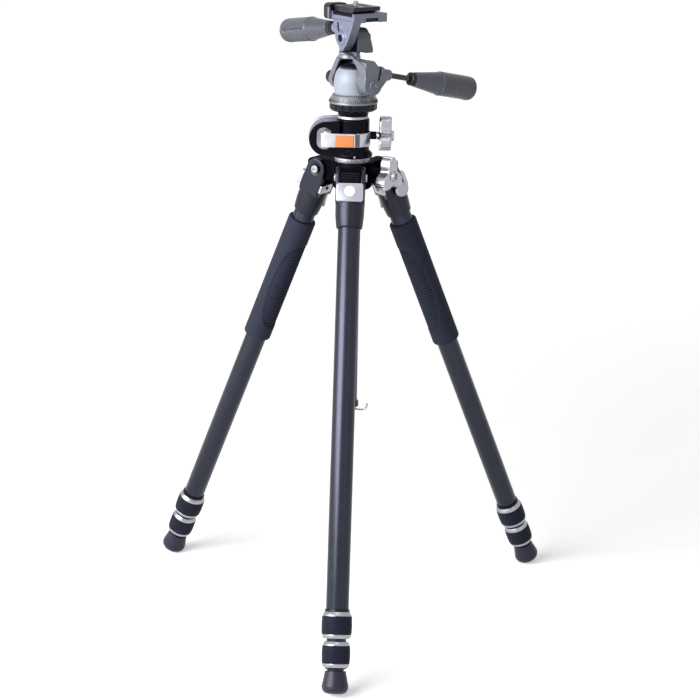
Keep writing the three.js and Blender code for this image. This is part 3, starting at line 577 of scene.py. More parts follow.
def socket_screw(inner, outer):
    """A screw with a socket in each head; its heads reach from inner to outer on both sides."""
    half = [
        (BOLT_RADIUS, inner, 0), (BOLT_HEAD_RADIUS, inner, 0.2),
        (BOLT_HEAD_RADIUS, outer - 0.5, 0.5), (BOLT_HEAD_RADIUS - 0.6, outer, 0.3),
        (2.2, outer, 0.2), (2.2, outer - 1.2, 0), (0, outer - 1.2),
    ]
    low = [(radius, -height, *corner) for radius, height, *corner in reversed(half)]
    return turned(low + half, steps=48)


for side, leg in legs.items():
    low, high = reach(f"{side}_hinge_bolt", leg)
    face = SHOULDER_WIDTH / 2 + 0.3
    add(
        f"{side}_hinge_screw", socket_screw(face, high.x), leg @ ALONG_X, ring_metal, "root",
        "bright_aluminium", f"{side}_hinge_bolt",
    )
    low, high = reach(f"{side}_angle_tab", leg)
    middle = (low.z + high.z) / 2
    extra = FRONT_TAB_EXTRA if side == "front" else 0
    width, height = high.x - low.x - 2, high.z - low.z - 2 + extra
    plate = rounded(width, height, TAB_CORNER, 0, middle - extra / 2)
    plate = across_y(plate, low.y - 2.6, high.y - 0.3)
    body = f"{side}_angle_tab"
    plate = bevelled(plate, 0.7, 60)
    add(f"{side}_tab_plate", plate, leg, satin_silver, body, "bright_aluminium", body)
    disc = [(0, -0.6), (INLAY_RADIUS, -0.6), (INLAY_RADIUS, -0.1), (INLAY_RADIUS - 0.4, 0), (0, 0)]
    inlay = moved(turned(above(high.y, disc), 0.15), shift(0, 0, middle) @ ALONG_Y)
    add(f"{side}_tab_rivet", inlay, leg, white_mark, body, "bright_aluminium")
    flip = -1 if side == "right" else 1
    plate = across_y(rounded(24, 11, 2, -4 * flip, -20.6), -17.2, -13.5)
    strip = [(x * flip, z) for x, z in ((4, -26.4), (10, -26.4), (14.8, -50), (12.6, -50))]
    strip = across_y(strip, -14.6, -8)
    body = f"{side}_leg"
    for name, trim in (("plate", plate), ("strip", strip)):
        trim = bevelled(trim, 0.5, 60)
        add(f"{side}_inner_{name}", trim, leg, knob_silver, body, "bright_aluminium")
    pin = turned([(0, 15), (2.3, 15), (2.3, 18.1, 0.4), (0, 18.1)], 0.1, steps=32)
    pin = moved(pin, shift(-3.2 * flip, 0, -19) @ about_x(90))
    add(f"{side}_inner_pin", pin, leg, pit_black, body, "dark_plastic")

low, high = reach("right_side_knob", legs["right"])
knob_axis = shift(0, (low.y + high.y) / 2, (low.z + high.z) / 2) @ ALONG_X
radius = (high.y - low.y) / 2
stem = above(low.x, [(0, 0), (3.2, 0), (3.2, 3.2), (radius - 1, 3.2, 1), (radius, 4.4, 1)])
face = above(high.x, [(radius, -1.6, 1.4), (radius - 2.2, -0.1, 1), (0, 0)])
knob = turned(stem + face, 0.3)
knob_place, body = legs["right"] @ knob_axis, "right_side_knob"
add("right_thumb_knob", knob, knob_place, ring_metal, body, "bright_aluminium", body)

# ---------- Crown ----------
# One alloy casting, painted gloss black: a hub, three lugs that the legs hinge on, and a boss for
# the wing knob that holds the turning clamp. Each lug has grip ribs on its outer end.
COLUMN_BORE = 10.8
LUG_RADIUS = 14
HINGE_RADIUS = 41.4
CROWN_TOP = 12.2
CROWN_BOTTOM = -19.8
KNOB_AZIMUTH = -30
crown_black = finish(
    "crown_black_paint", (0.003, 0.003, 0.006), 0.5, grain=0.8, bump=0.05, shine=0.005
)
axis = Vector(joints["clamp_turn"]["pos_m"])
hinge_height = legs["front"].translation.z
crown = placed((axis.x, axis.y, hinge_height), (1, 0, 0), (0, 1, 0), (0, 0, 1))


def lug(azimuth):
    """One of the crown's three arms, with a round end about its hinge."""
    start, reach_out = 17, HINGE_RADIUS + LUG_RADIUS
    side_view = [
        (start, CROWN_TOP), (start, -LUG_RADIUS + 2), *arc(HINGE_RADIUS, 0, LUG_RADIUS, -90, 0),
        (reach_out, CROWN_TOP - 3), (reach_out - 3, CROWN_TOP),
    ]
    solid = across_x(side_view, -LUG_WIDTH / 2, LUG_WIDTH / 2)
    return moved(solid, about_z(azimuth - 90))


def lug_ribs(azimuth):
    """Grip ribs that follow the lug's rounded end."""
    ribs = []
    for i in range(5):
        height = 7.6 - 2.8 * i
        out = HINGE_RADIUS + math.sqrt(LUG_RADIUS**2 - min(0, height) ** 2)
        rib = box((-10.4, 10.4), (out - 1, out + 0.9), (height - 0.7, height + 0.7))
        ribs.append(bevelled(rib, 0.3))
    return moved(gathered(ribs), about_z(azimuth - 90))


azimuths = {"front": -90, "right": 30, "left": 150}
hub = turned([
    (COLUMN_BORE, CROWN_TOP), (COLUMN_BORE, CROWN_BOTTOM), (21.4, CROWN_BOTTOM),
    (23.4, CROWN_BOTTOM + 2), (23.4, -3.8), (26, -1.8), (26, CROWN_TOP),
], 0.8, True)
boss = moved(rod(7.5, 20.4, 40), about_z(KNOB_AZIMUTH) @ ALONG_X)
casting = cast([hub, boss, *map(lug, azimuths.values())], [rod(COLUMN_BORE, -40, 40)], 0.7, 5)
add("crown_casting", casting, crown, crown_black, "root", "black_paint", "crown")
for side, azimuth in azimuths.items():
    add(f"{side}_lug_ribs", lug_ribs(azimuth), crown, nut_black, "root", "black_paint")

# ---------- Graduated ring ----------
# A thin turned alloy ring on the crown, with a black tick every five degrees and a longer one every
# fifteen, read against the white dot on the clamp's foot.
TICK_STEP = 5
LONG_TICK_STEP = 15
ring_satin = finish("satin_ring", (0.4, 0.4, 0.45), 0.5, 0.9, grain=0.4, bump=0.04, spread=0.05)


def ticks(radius, low, high, lean=0.0, width=0.5):
    """Short bars round a ring at a radius; their upper end leans in towards the axis by lean."""
    slant = Matrix.Identity(4)
    slant[0][2] = -lean / (high - low)
    slant[0][3] = radius + lean * low / (high - low)
    bars = []
    for angle in range(0, 360, TICK_STEP):
        top = high if angle % LONG_TICK_STEP == 0 else low + 0.6 * (high - low)
        bar = box((-0.15, 0.1), (-width / 2, width / 2), (low, top))
        bars.append(moved(bar, about_z(angle) @ slant))
    return gathered(bars)


low, high = reach("degree_ring", crown)
ring = pipe(COLUMN_BORE, high.x, low.z, high.z, 0.3, 96)
add("graduated_ring", ring, crown, ring_satin, "root", "grey_metal", "degree_ring")
marks = ticks(high.x, low.z + 0.8, high.z - 0.8)
add("graduated_ring_ticks", marks, crown, pit_black, "root", "dark_plastic")

# ---------- Wing knobs ----------
# Three-lobed knobs of tumbled aluminium, with grip grooves on the lobes' ends and a sunk centre.
# One clamps the turning foot on the crown, the other the column.
KNOB_MEAN = 17
KNOB_LOBE = 6
KNOB_THICKNESS = 14.6
KNOB_NECK = 2.8
CROWN_KNOB_OUT = 40.3


def wing_knob():
    """A knob with three lobes about Z, from its neck up."""
    outline = []
    for i in range(120):
        angle = 2 * math.pi * i / 120
        radius = KNOB_MEAN - KNOB_LOBE * math.cos(3 * angle)
        outline.append((radius * math.cos(angle), radius * math.sin(angle)))
    face = KNOB_NECK + KNOB_THICKNESS
    head = bevelled(slab(outline, KNOB_NECK, face), 2.2, 60, 4)
    neck = rod(4.6, 0, KNOB_NECK + 1)
    button = turned([
        (0, face - 2), (6.4, face - 2), (6, face + 3, 1), (3.8, face + 3, 0.5), (3.8, face - 1),
        (0, face - 1),
    ])
    grooves = []
    for lobe in (60, 180, 300):
        for turn in (-9, -3, 3, 9):
            groove = box((21.9 - abs(turn) / 12, 30), (-0.45, 0.45), (0, 30))
            grooves.append(moved(groove, about_z(lobe + turn)))
    return cast([head, neck, button], grooves, 0.42, 3)


knob_hole = rod(3.6, 16, 16.7, 72, 0.1)
one_knob = wing_knob()


def add_knob(where, place):
    """A wing knob and the black disc sunk in its centre."""
    name, body = f"{where}_wing_knob", f"{where}_knob"
    add(name, one_knob.copy(), place, knob_silver, body, "bright_aluminium", body)
    add(f"{name}_centre", knob_hole.copy(), place, pit_black, body, "dark_plastic")


add_knob("crown", crown @ about_z(KNOB_AZIMUTH) @ shift(CROWN_KNOB_OUT, 0, 0) @ ALONG_X)

# ---------- Column clamp ----------
# A black casting that turns on the crown. Its foot carries a C-shaped cheek with a window, and a
# collar hinged on the pivot bolt holds the column. The cheek at the back is bare cast aluminium.
CLAMP_RADIUS = 19.6
FOOT_RADIUS = 23.6
CLAMP_HEIGHT = 21.3
PIVOT_X = -27.5
PIVOT_HEIGHT = 23.5
CHEEK_RADIUS = 20.3
CHEEK_X = -30.5
CHEEK_HEIGHT = 22.4
CHEEK_INNER = 13
CHEEK_OUTER = 19
CHEEK_RIGHT = -14.2
COLLAR_TOP = 44.9
KNOB_HEIGHT = 25
COLUMN_KNOB_OUT = 28.3
clamp_black = finish(
    "gloss_black_paint", (0.003, 0.003, 0.007), 0.24, grain=0.8, bump=0.05, shine=0.06
)
clamp = placed((axis.x, axis.y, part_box("clamp_base")[0].z), (1, 0, 0), (0, 1, 0), (0, 0, 1))


def cheek(radius, foot, low, high, back=0.0):
    """A C-shaped plate beside the foot."""
    turn = arc(CHEEK_X - back, CHEEK_HEIGHT, radius, 90, 245, 40)
    outline = [(CHEEK_RIGHT, CHEEK_HEIGHT + radius + 1.5), *turn, (CHEEK_RIGHT, foot)]
    return across_y(outline, low, high)


def knuckle(extra, back):
    """The collar's hinge round the pivot bolt, or with something extra the room for it."""
    low = CLAMP_HEIGHT + 0.3 - extra
    turn = arc(PIVOT_X, PIVOT_HEIGHT, 7.5 + extra, 90, 270)
    points = [(-13, low), (-13, 31 + extra), *turn, (PIVOT_X + 7.5 + extra, low)]
    return across_y(points, -8.3 - extra, back)


foot_profile = [
    (0, 0), (FOOT_RADIUS, 0, 0.5), (FOOT_RADIUS, 4, 0.6), (CLAMP_RADIUS, 8, 1),
    (CLAMP_RADIUS, CLAMP_HEIGHT, 0.6), (0, CLAMP_HEIGHT),
]
window = across_y(rounded(17, 26, 7.8, -33, 22.9), -30, -10)
web = across_y(
    [(-16, 1), (-6, 1), (-6, CLAMP_HEIGHT), (-16, CLAMP_HEIGHT)], -CHEEK_OUTER, -CHEEK_INNER
)
front_cheek = bevelled(cheek(CHEEK_RADIUS, 1, -CHEEK_OUTER, -CHEEK_INNER), 1.2, 60)
cuts = [rod(COLUMN_BORE, -5, 60), window, knuckle(0.3, 13.3)]
foot = cast([turned(foot_profile), front_cheek, web], cuts, 0.55, 4)
add("clamp_foot", foot, clamp, clamp_black, "clamp", "black_paint", "clamp_base")

collar_profile = [
    (0, CLAMP_HEIGHT + 0.3), (CLAMP_RADIUS, CLAMP_HEIGHT + 0.3), (CLAMP_RADIUS, COLLAR_TOP, 1.2),
    (0, COLLAR_TOP),
]
knob_boss = moved(rod(4.7, 14, 28), shift(0, 0, KNOB_HEIGHT) @ ALONG_X)
collar = cast(
    [turned(collar_profile), knuckle(0, 12.7), knob_boss], [rod(COLUMN_BORE, -5, 60)], 0.55, 4
)
add("clamp_collar", collar, clamp, clamp_black, "clamp", "black_paint", "column_collar")

cheek_silver = finish(
    "bare_cast_aluminium", (0.36, 0.355, 0.42), 0.4, 0.9, grain=0.4, bump=0.08, spread=0.06
)
rear = bevelled(cheek(CHEEK_RADIUS + 1.9, 3, CHEEK_INNER, CHEEK_OUTER, 1.2), 1.2, 60)
over_knob = box((-60, 0), (CHEEK_INNER - 1, CHEEK_OUTER + 1), (-3, 3.4))
cuts = [rod(FOOT_RADIUS + 0.4, -1, 4), rod(CLAMP_RADIUS + 0.4, 3, 60), over_knob]
rear = cast([rear], cuts, 0.55, 4)
add("clamp_rear_cheek", rear, clamp, cheek_silver, "clamp", "bright_aluminium", "rear_cheek")

pivot = shift(PIVOT_X, 0, PIVOT_HEIGHT) @ ALONG_Y
bolt = turned([
    (0, -9.2), (2.2, -9.2), (2.2, -10), (4, -10), (4, -8.6), (3, -8.6), (3, 19.3), (5.6, 19.3),
    (5.6, 21.3, 0.8), (0, 21.3),
])
add("clamp_pivot_bolt", bolt, clamp @ pivot, ring_metal, "clamp", "bright_aluminium", "pivot_bolt")
dot = rod(1.1, 22, FOOT_RADIUS + 0.15, 72, 0.1)
dot = moved(dot, about_z(-82) @ shift(0, 0, 2.4) @ ALONG_X)
add("clamp_index_dot", dot, clamp, white_mark, "clamp", "black_paint")
add_knob("column", clamp @ shift(COLUMN_KNOB_OUT, 0, KNOB_HEIGHT) @ ALONG_X)
one_knob.free()
knob_hole.free()

# ---------- Band lever ----------
# A polished band that wraps the collar from a pin in the cheek's window. An orange button set into
# it is pressed to free the lever, which then swings open.
BAND_OUTER = 22
BAND_THICKNESS = 2.6
BAND_MIDDLE = 21.6
BAND_HEIGHT = 15.8
EYE = (-29.5, -16)
NOTCH = (6.2, -22.4)
BAND_LEFT = -36.4
BUTTON_FACE = 22.8
INSERT = (-18.6, 1.6, 14.3, 27.1)
polished = finish(
    "polished_band", (0.53, 0.52, 0.55), 0.32, 1.0, grain=0.6, bump=0.008, spread=0.04
)
orange = finish("orange_button", (0.76, 0.22, 0.06), 0.38, grain=0.5, bump=0.06, spread=0.1)


def band(outer, inner, start, stop):
    """The outline of a strip that runs straight from start and then round the column."""
    return [
        (start, -outer), *arc(0, 0, outer, -90, stop, 32), *arc(0, 0, inner, stop, -90, 32),
        (start, -inner),
    ]


def carved(parts, cuts, size, angle=40):
    """Parts less the cuts, with crisp edges rounded by a given size."""
    scratch = loose("solid", parts), loose("cut", cuts)
    combine(*scratch, "DIFFERENCE").use_self = True
    return bevelled(settled(*scratch), size, angle, 2)


low, high = BAND_MIDDLE - BAND_HEIGHT / 2, BAND_MIDDLE + BAND_HEIGHT / 2
strip = slab(band(BAND_OUTER, BAND_OUTER - BAND_THICKNESS, BAND_LEFT, -17), low, high)
eye_top = high + 2
eye = [
    (0, low), (5.6, low), (5.6, eye_top), (4.4, eye_top), (4, eye_top - 0.9), (2.6, eye_top - 0.9),
    (2.2, eye_top - 0.2), (0, eye_top - 0.2),
]
eye = moved(turned(eye, 0.2), shift(*EYE, 0))
pin = moved(rod(2, 13, 32), shift(*EYE, 0))
notch = moved(rod(2.6, low - 1, high + 1), shift(*NOTCH, 0))
gap_box = box((INSERT[0] - 0.3, INSERT[1] + 0.3), (-24, -17.4), (INSERT[2] - 0.2, INSERT[3] + 0.2))
strip = carved([strip], [gap_box, notch], 0.45)
add("clamp_band", strip, clamp, polished, "clamp_lever", "bright_aluminium", "clamp_lever")
# A thin dark grey sheet on the notch's curved face is painted shade in the groove.
groove = [*arc(*NOTCH, 2.56, 15, 122, 10), *arc(*NOTCH, 2.9, 122, 15, 10)]
groove = slab(groove, low + 0.3, high - 0.3)
groove_shade_grey = finish("painted_groove_shade", (0.05, 0.055, 0.075), 0.4, 0.5)
add("clamp_band_groove_shade", groove, clamp, groove_shade_grey, "clamp_lever", "dark_plastic")
add("clamp_band_eye", eye, clamp, polished, "clamp_lever", "bright_aluminium")
add("clamp_band_pin", pin, clamp, ring_metal, "clamp_lever", "bright_aluminium")
low, high = reach("lever_insert", clamp)
bow = arc(0, 0, BUTTON_FACE, -90, -90 + math.degrees(math.asin(INSERT[1] / BUTTON_FACE)), 8)
back = [(INSERT[1], -20.8), (INSERT[0], -20.8)]
button = slab([(INSERT[0], -BUTTON_FACE), *bow, *back], INSERT[2], INSERT[3])
button = bevelled(button, 0.7, 40, 3)
add("lever_button", button, clamp, orange, "lever_insert", "orange_insert", "lever_insert")

# ---------- Centre column ----------
# A drawn black tube through the crown and the clamp, with a bright plate on top for the head, and a
# plastic plug below that holds a turned-up wire hook for a bag.
COLUMN_RADIUS = 10.5
COLUMN_WALL = 1.5
low, high = reach("centre_column", clamp)
tube = pipe(COLUMN_RADIUS - COLUMN_WALL, COLUMN_RADIUS, low.z, high.z, 0.25)
add("column_tube", tube, clamp, tube_black, "column", "leg_paint", "centre_column")
low, high = reach("column_top_plate", clamp)
disc = above(low.z, [(0, -1), (18.3, -1, 0.3), (17.6, 1.9), (4.6, 1.9)])
plate = turned([*disc, (4.6, high.z), (0, high.z)], 0.2)
add("column_head_plate", plate, clamp, ring_satin, "column", "bright_aluminium", "column_top_plate")
low, high = reach("column_plug", clamp)
rim = above(
    low.z,
    [
        (2, 0), (9, 0, 1), (12.4, 2.4, 2), (12.4, 4.6), (11.9, 4.9), (11.9, 5.4), (12.4, 5.7),
        (12.4, 8), (8.7, 8),
    ],
)
plug = turned([*rim, (8.7, high.z), (2, high.z)], 0.3, True)
plug_black = finish(
    "moulded_black_plastic", (0.008, 0.008, 0.013), 0.36, grain=0.25, bump=0.1, shine=0.3
)
add("column_end_plug", plug, clamp, plug_black, "column", "dark_plastic", "column_plug")


def wire(points, radius):
    """A round wire through the points."""
    line = bpy.data.curves.new("wire", "CURVE")
    line.dimensions = "3D"
    line.bevel_depth = radius
    line.bevel_resolution = 4
    line.resolution_u = 10
    line.use_fill_caps = True
    spline = line.splines.new("BEZIER")
    spline.bezier_points.add(len(points) - 1)
    for knot, point in zip(spline.bezier_points, points):
        knot.co = point
        knot.handle_left_type = knot.handle_right_type = "AUTO"
    shape = settled(linked("wire", line))
    bmesh.ops.remove_doubles(shape, verts=shape.verts, dist=1e-4)
    bmesh.ops.recalc_face_normals(shape, faces=shape.faces)
    return shape


low, high = reach("bag_hook", clamp)
level = low.z + 2
hook = wire([
    (0, 0, level), (9.2, 0, level - 0.6), (17.2, 0, level - 0.8), (21.4, 0, level + 1.2),
    (23, 0, level + 7.5),
], 1.2)
add("hook_wire", hook, clamp, ring_metal, "bag_hook", "bright_aluminium", "bag_hook")
foot = above(low.z, [(0, 0), (3.4, 0), (3.4, 2.9), (1.7, 2.9)])
cap = above(high.z, [(1.7, -2), (3.4, -2), (3.4, 0), (0, 0)])
stem = turned(foot + cap, 0.3, steps=32)
add("hook_stem", stem, clamp, ring_metal, "bag_hook", "bright_aluminium")

# ---------- Head neck, lock ring and pan barrel ----------
# The head turns on a black neck. A black nut with flutes locks the pan; above it is an alloy ring
# with engraved ticks, and a bead-blasted barrel that the tilting yoke straddles.
RING_FLUTES = 18
FLUTE_DEPTH = 1.5
PAN_BORE = 9.3
PAN_RADIUS = 28.9
PAN_SLOPE = 4.7 / 8.4
lock_black = finish(
    "glossy_black_plastic", (0.003, 0.003, 0.008), 0.22, grain=0.3, bump=0.05, shine=0.25
)
TILT_HEIGHT = 24.7
roll_axis = Vector(joints["head_roll"]["axis"])
side_axis = -Vector(joints["head_tilt"]["axis"])
head = placed((axis.x, axis.y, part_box("pan_barrel")[0].z), roll_axis, side_axis, (0, 0, 1))
low, high = reach("head_neck", head)
flange = above(low.z, [
    (0, 7), (4.9, 7), (4.9, 0), (17.4, 0, 0.4), (18, 1.2), (18, 5.4), (17.2, 6.8), (9, 6.8),
])
neck = turned([*flange, (9, high.z), (0, high.z)], 0.3)
add("head_neck_turning", neck, head, clamp_black, "column", "black_paint", "head_neck")

low, high = reach("pan_lock_ring", head)
outline = []
for i in range(RING_FLUTES):
    middle = 360 * i / RING_FLUTES
    outline += arc(0, 0, high.x + 0.9, middle - 6.8, middle + 6.8, 4)
    outline += arc(0, 0, high.x + 0.9 - FLUTE_DEPTH, middle + 8.2, middle + 11.8, 2)
chamfer = turned(above(low.z, [(23.4, -3), (32, -3), (32, 1.2), (28.4, 1.2)]), 0, True)
cuts = [rod(PAN_BORE, low.z - 3, high.z + 1), chamfer]
ring = cast([slab(outline, low.z - 1.2, high.z)], cuts, 0.42, 2)
add("pan_lock_nut", ring, head, lock_black, "pan_lock_ring", "dark_plastic", "pan_lock_ring")

barrel_silver = finish(
    "bead_blasted_barrel", (0.29, 0.32, 0.385), 0.5, 0.1, grain=0.25, bump=0.07, spread=0.05
)
ring_grey = finish(
    "pan_ring_alloy", (0.2, 0.206, 0.23), 0.38, 0.6, grain=0.25, bump=0.06, spread=0.08
)
rim = turned([
    (PAN_BORE, 0), (PAN_RADIUS - 0.3, 0), (PAN_RADIUS, 0.3), (PAN_RADIUS, 1.6, 0.4),
    (24.9, 9.6, 0.5), (22.4, 10.4), (PAN_BORE, 10.4),
], 0.3, True, 96)
add("pan_ring", rim, head, ring_grey, "pan", "grey_metal", "pan_barrel")
marks = ticks(PAN_RADIUS, 2.2, 6.5, 4.3 * PAN_SLOPE, 0.55)
add("pan_ring_ticks", marks, head, pit_black, "pan", "dark_plastic")
body = turned([
    (0, 10), (22, 10, 0.8), (22.4, 12, 1), (23, 16.6, 6), (23.3, TILT_HEIGHT, 6), (22.4, 30.5, 6),
    (20.8, 35, 4), (18.2, 39.6, 1), (17, 40.5, 0.8), (0, 40.5),
], 0.6, steps=96)
add("pan_barrel_body", body, head, barrel_silver, "pan", "grey_metal")
low, high = reach("barrel_cap", head)
cap = turned([
    (0, low.z), (16.6, low.z), (16.6, low.z + 1.6, 0.8), (13.6, high.z, 0.8), (8, high.z + 2.6, 2),
    (0, high.z + 2.8),
])
add("pan_barrel_cap", cap, head, plug_black, "pan", "dark_plastic", "barrel_cap")

# ---------- Tilt yoke ----------
# A grey cast fork over the barrel, with a round hub on the axle at the front and a split boss that
# grips the handle's rod. A turned cap closes the axle, and a black knob at the back sets the drag.
# The fork's top is bevelled at the left and the front, where the bracket tips down past it.
YOKE_FRONT = -40
YOKE_BACK = 34.6
YOKE_TOP = 60
HUB_RADIUS = 12.2
NECK_X = -6.5
TILT_ROD_BORE = 3.9
AXLE_BORE = 5.3
yoke_grey = finish(
    "grey_cast_paint", (0.152, 0.162, 0.198), 0.32, 0.25, grain=0.3, bump=0.08, spread=0.08
)
tilt_line = shift(0, -32, TILT_HEIGHT + 14.6) @ about_y(11.4) @ ALONG_X
tilt_axis = shift(0, 0, TILT_HEIGHT) @ ALONG_Y


def overlap(first, second):
    """What two shapes have in common."""
    scratch = loose("solid", [first]), loose("tool", [second])
    combine(*scratch, "INTERSECT")
    return settled(*scratch)


arch = [
    (YOKE_FRONT, 11.7), (-27.5, 11.7), (-27.5, 31), (-24.7, 40), (-17.5, 47.4), (-11, 50.5),
    (8, 50.5), (14.5, 48), (20, 40), (24, 32), (27.5, 26), (27.5, 11.7), (YOKE_BACK, 11.7),
    (YOKE_BACK, 27), (32.6, 32.5), (26, 43), (19.5, 52), (13, 56), (-12, 56), (-20, 53.4),
    (-29, 49.4), (-35, 47), (-38.6, 43.6), (YOKE_FRONT, 37),
]
side_view = [
    (7.6, 46), (3.6, 51.4), (-3, 53.4), (-11.5, 57), (-11.5, 32),
    *arc(0, TILT_HEIGHT, HUB_RADIUS, 162, 360, 40), (11.5, 38),
]
fork = overlap(across_x(arch, -14, 14), across_y(side_view, -41, 39))
neck = turned([
    (0, 50), (14, 50, 1), (12.6, 55, 3), (12.2, 57.2), (12.6, 57.6), (12.6, YOKE_TOP),
    (0, YOKE_TOP),
], 0.3)
neck = moved(neck, shift(NECK_X, 0, 0))
opening = across_x([(-17, 46), (-12.5, 52.6), (8, 52.6), (14, 46)], -22, 30)
boss = moved(turned([(0, 2), (6.6, 2), (6.6, 28.8, 1.6), (0, 28.8)]), tilt_line)
hump_view = [
    (-10, 46), (-9.6, 51.2), (-1, 51.8), (1.6, 52.6), (3.4, 51), (7.4, 46.4), (13, 45.4),
    (16, 44.4), (16, 36), (4, 36),
]
hump = across_y(hump_view, -38.6, -25.4)
web_outline = [
    (-8, 37), (9, 18), (13.6, 21.5), (17.2, 25.4), (20.6, 29), (26, 31), (26, 36), (0, 42)
]
web = across_y(web_outline, YOKE_FRONT + 1.2, -25.5)
flange = moved(turned([(0, -26.6), (14.2, -26.6), (14.2, -23.9, 0.8), (0, -23.9)], 0.4), tilt_axis)
split = box((-1.6, 1.6), (-10, 10), (-6.6, 14))
split = moved(split, shift(9.4, -32, 36.4) @ about_y(14))
bevel = [(-2.8, 60.2), (-7.3, 57.6), (-17.6, 52.7), (-22, 52.7), (-22, 64), (-2.8, 64)]
relief = across_x(bevel, -18.9, -6.1)
side_relief = box((-19, 31), (-30, -17.6), (52.8, 64))
bore = moved(rod(TILT_ROD_BORE, 16, 40), tilt_line)
axle_hole = moved(rod(AXLE_BORE, -50, 50), tilt_axis)
rings = [moved(pipe(r, r + 0.9, -41, -39.1, 0), tilt_axis) for r in (7.4, 10.2, 13.4, 15.8)]
cuts = [opening, bore, axle_hole, split, relief.copy(), side_relief, *rings]
yoke = cast([fork, neck, boss, hump, web, flange], cuts, 0.48, 3)
add("tilt_yoke_casting", yoke, head, yoke_grey, "yoke", "grey_metal", "tilt_yoke")
# A thin black disc on the neck's top is painted shadow, where the bracket shades the neck.
shadow_disc = moved(rod(11.6, YOKE_TOP, YOKE_TOP + 0.3, 72, 0.1), shift(NECK_X, 0, 0))
shadow_disc = carved([shadow_disc], [relief], 0.1)
add("tilt_yoke_shadow_disc", shadow_disc, head, pit_black, "yoke", "dark_plastic")
# A black sheet on the rear limb's inner face, under the arch, is painted shade inside the fork.
shade_liner = across_x([
    (25.4, 20), (23.2, 31.6), (19.2, 39.4), (13.8, 47), (14.9, 48.2), (20.6, 40.4), (24.8, 32.2),
    (27.7, 26.4), (27.7, 20),
], -9.6, 11)
add("tilt_yoke_shade_liner", shade_liner, head, pit_black, "yoke", "dark_plastic")
low, high = reach("tilt_axle", head)
cap = above(
    low.y,
    [
        (0, 0.7), (2, 0.7), (2.3, 0.2), (3.2, 0.2), (3.5, 0.8), (4.2, 0.8), (4.5, 0), (5.6, 0),
        (6, 0.5), (6, 2.2), (5, 2.2),
    ],
)
axle = turned([*cap, (5, high.y), (0, high.y)], 0.15)
add("tilt_axle_cap", axle, head @ tilt_axis, yoke_grey, "yoke", "grey_metal", "tilt_axle")
low, high = reach("tilt_knob", head)
skirt = [(0, 0), (7, 0), (8, 2), (8, 4), (7.5, 4.4), (7.5, 5), (8, 5.4)]
face = above(high.y, [(8, -4.5, 1.6), (6, -2.5, 1), (0, -2.5)])
knob = turned(above(YOKE_BACK + 0.3, skirt) + face)
add("tilt_drag_knob", knob, head @ tilt_axis, plug_black, "tilt_knob", "dark_plastic", "tilt_knob")

# ---------- Roll post and bracket ----------
# A dark cast post stands on the yoke and carries the roll pin. The light bracket that tips on it
# spreads into the platform under the camera plate, and has its own split boss for the left handle.
ROLL_HEIGHT = 75.7
POST_TOP = 86.6
PLATFORM_LOW = 94.2
PLATFORM_HIGH = 104.7
ROLL_PIN_RADIUS = 4
ROLL_PIN_BORE = 4.3
ROLL_ROD_BORE = 3.6
SCREW_BORE = 3.4
screw_line = shift(0.8, -0.5, 0)
post_grey = finish("dark_cast_paint", (0.11, 0.112, 0.125), 0.4, grain=0.3, bump=0.08)
bracket_grey = finish(
    "light_cast_paint", (0.165, 0.184, 0.255), 0.34, 0.3, grain=0.3, bump=0.07, spread=0.07
)
roll_line = shift(-12, 0, ROLL_HEIGHT + 12.7) @ about_z(90) @ about_y(8) @ ALONG_X
roll_axle = shift(0, 0, ROLL_HEIGHT) @ ALONG_X
post_outline = [
    (-12.2, 58.2), (12.2, 58.2), (11.4, ROLL_HEIGHT), (9.8, 82), (7.8, 85.4), (4.5, POST_TOP),
    (-4.5, POST_TOP), (-7.8, 85.4), (-9.8, 82), (-11.4, ROLL_HEIGHT),
]
post_side = [
    (-3.8, 60.3), (7, 60.3), (8, 58.2), (18.4, 58.2), (18.6, 63), (14.6, 78), (12.4, POST_TOP + 1),
    (-3, POST_TOP + 1),
]
post = overlap(across_x(post_outline, -4, 20), across_y(post_side, -15, 15))
# A black sheet over the post's left face is painted shade under the bracket.
shade_plate = [(0.97 * y, ROLL_HEIGHT + 0.97 * (z - ROLL_HEIGHT)) for y, z in post_outline]
shade_plate = across_x(shade_plate, -4.5, -3.5)
shade_plate = carved([shade_plate], [moved(rod(4.4, -30, 30), roll_axle)], 0.2)
add("roll_post_shade_plate", shade_plate, head, pit_black, "yoke", "dark_plastic")
post = cast([post], [moved(rod(ROLL_PIN_BORE, -30, 30), roll_axle)], 0.5, 5)
add("roll_post_casting", post, head, post_grey, "yoke", "dark_metal", "roll_post")

wedge = [
    (18.5, 96), (-22.4, 96), (-22.4, 93), (-17.6, 83), (-12.8, 73.6), (-8.4, 67), (-5, 64.6),
    (-2.8, 61), (1, 60.7), (4.6, 61), (5, 65.2), (8.8, 68), (13, 74), (15.4, 87.5),
]
wedge = across_x(wedge, -18.2, -6.6)
platform = box((-16.6, 30.2), (-22.4, 24.3), (PLATFORM_LOW, PLATFORM_HIGH))
boss = moved(turned([(0, 0), (6.75, 0), (6.75, 21.7, 0.8), (0, 21.7)]), roll_line)
bore = moved(rod(ROLL_ROD_BORE, 9.4, 40), roll_line)
screw_bore = moved(rod(SCREW_BORE, 80, 120), screw_line)
hollow = box((0.5, 19), (-30, 22.3), (PLATFORM_LOW - 2, PLATFORM_LOW + 5))
channel = box((-30, 40), (-18.2, 20.8), (PLATFORM_HIGH - 3.6, PLATFORM_HIGH + 3))
slit = box((-22, -7), (-1.9, 1.9), (-5.8, 5.8))
slit = moved(slit, shift(0, 7.1, ROLL_HEIGHT + 11.7) @ about_x(-17))
eyelet = moved(rod(ROLL_PIN_BORE, -24, -17), roll_axle)
eye_ring = [(0, -20.6), (7.2, -20.6, 0.6), (8.2, -19.6, 0.6), (10, -17.2), (10, -15), (0, -15)]
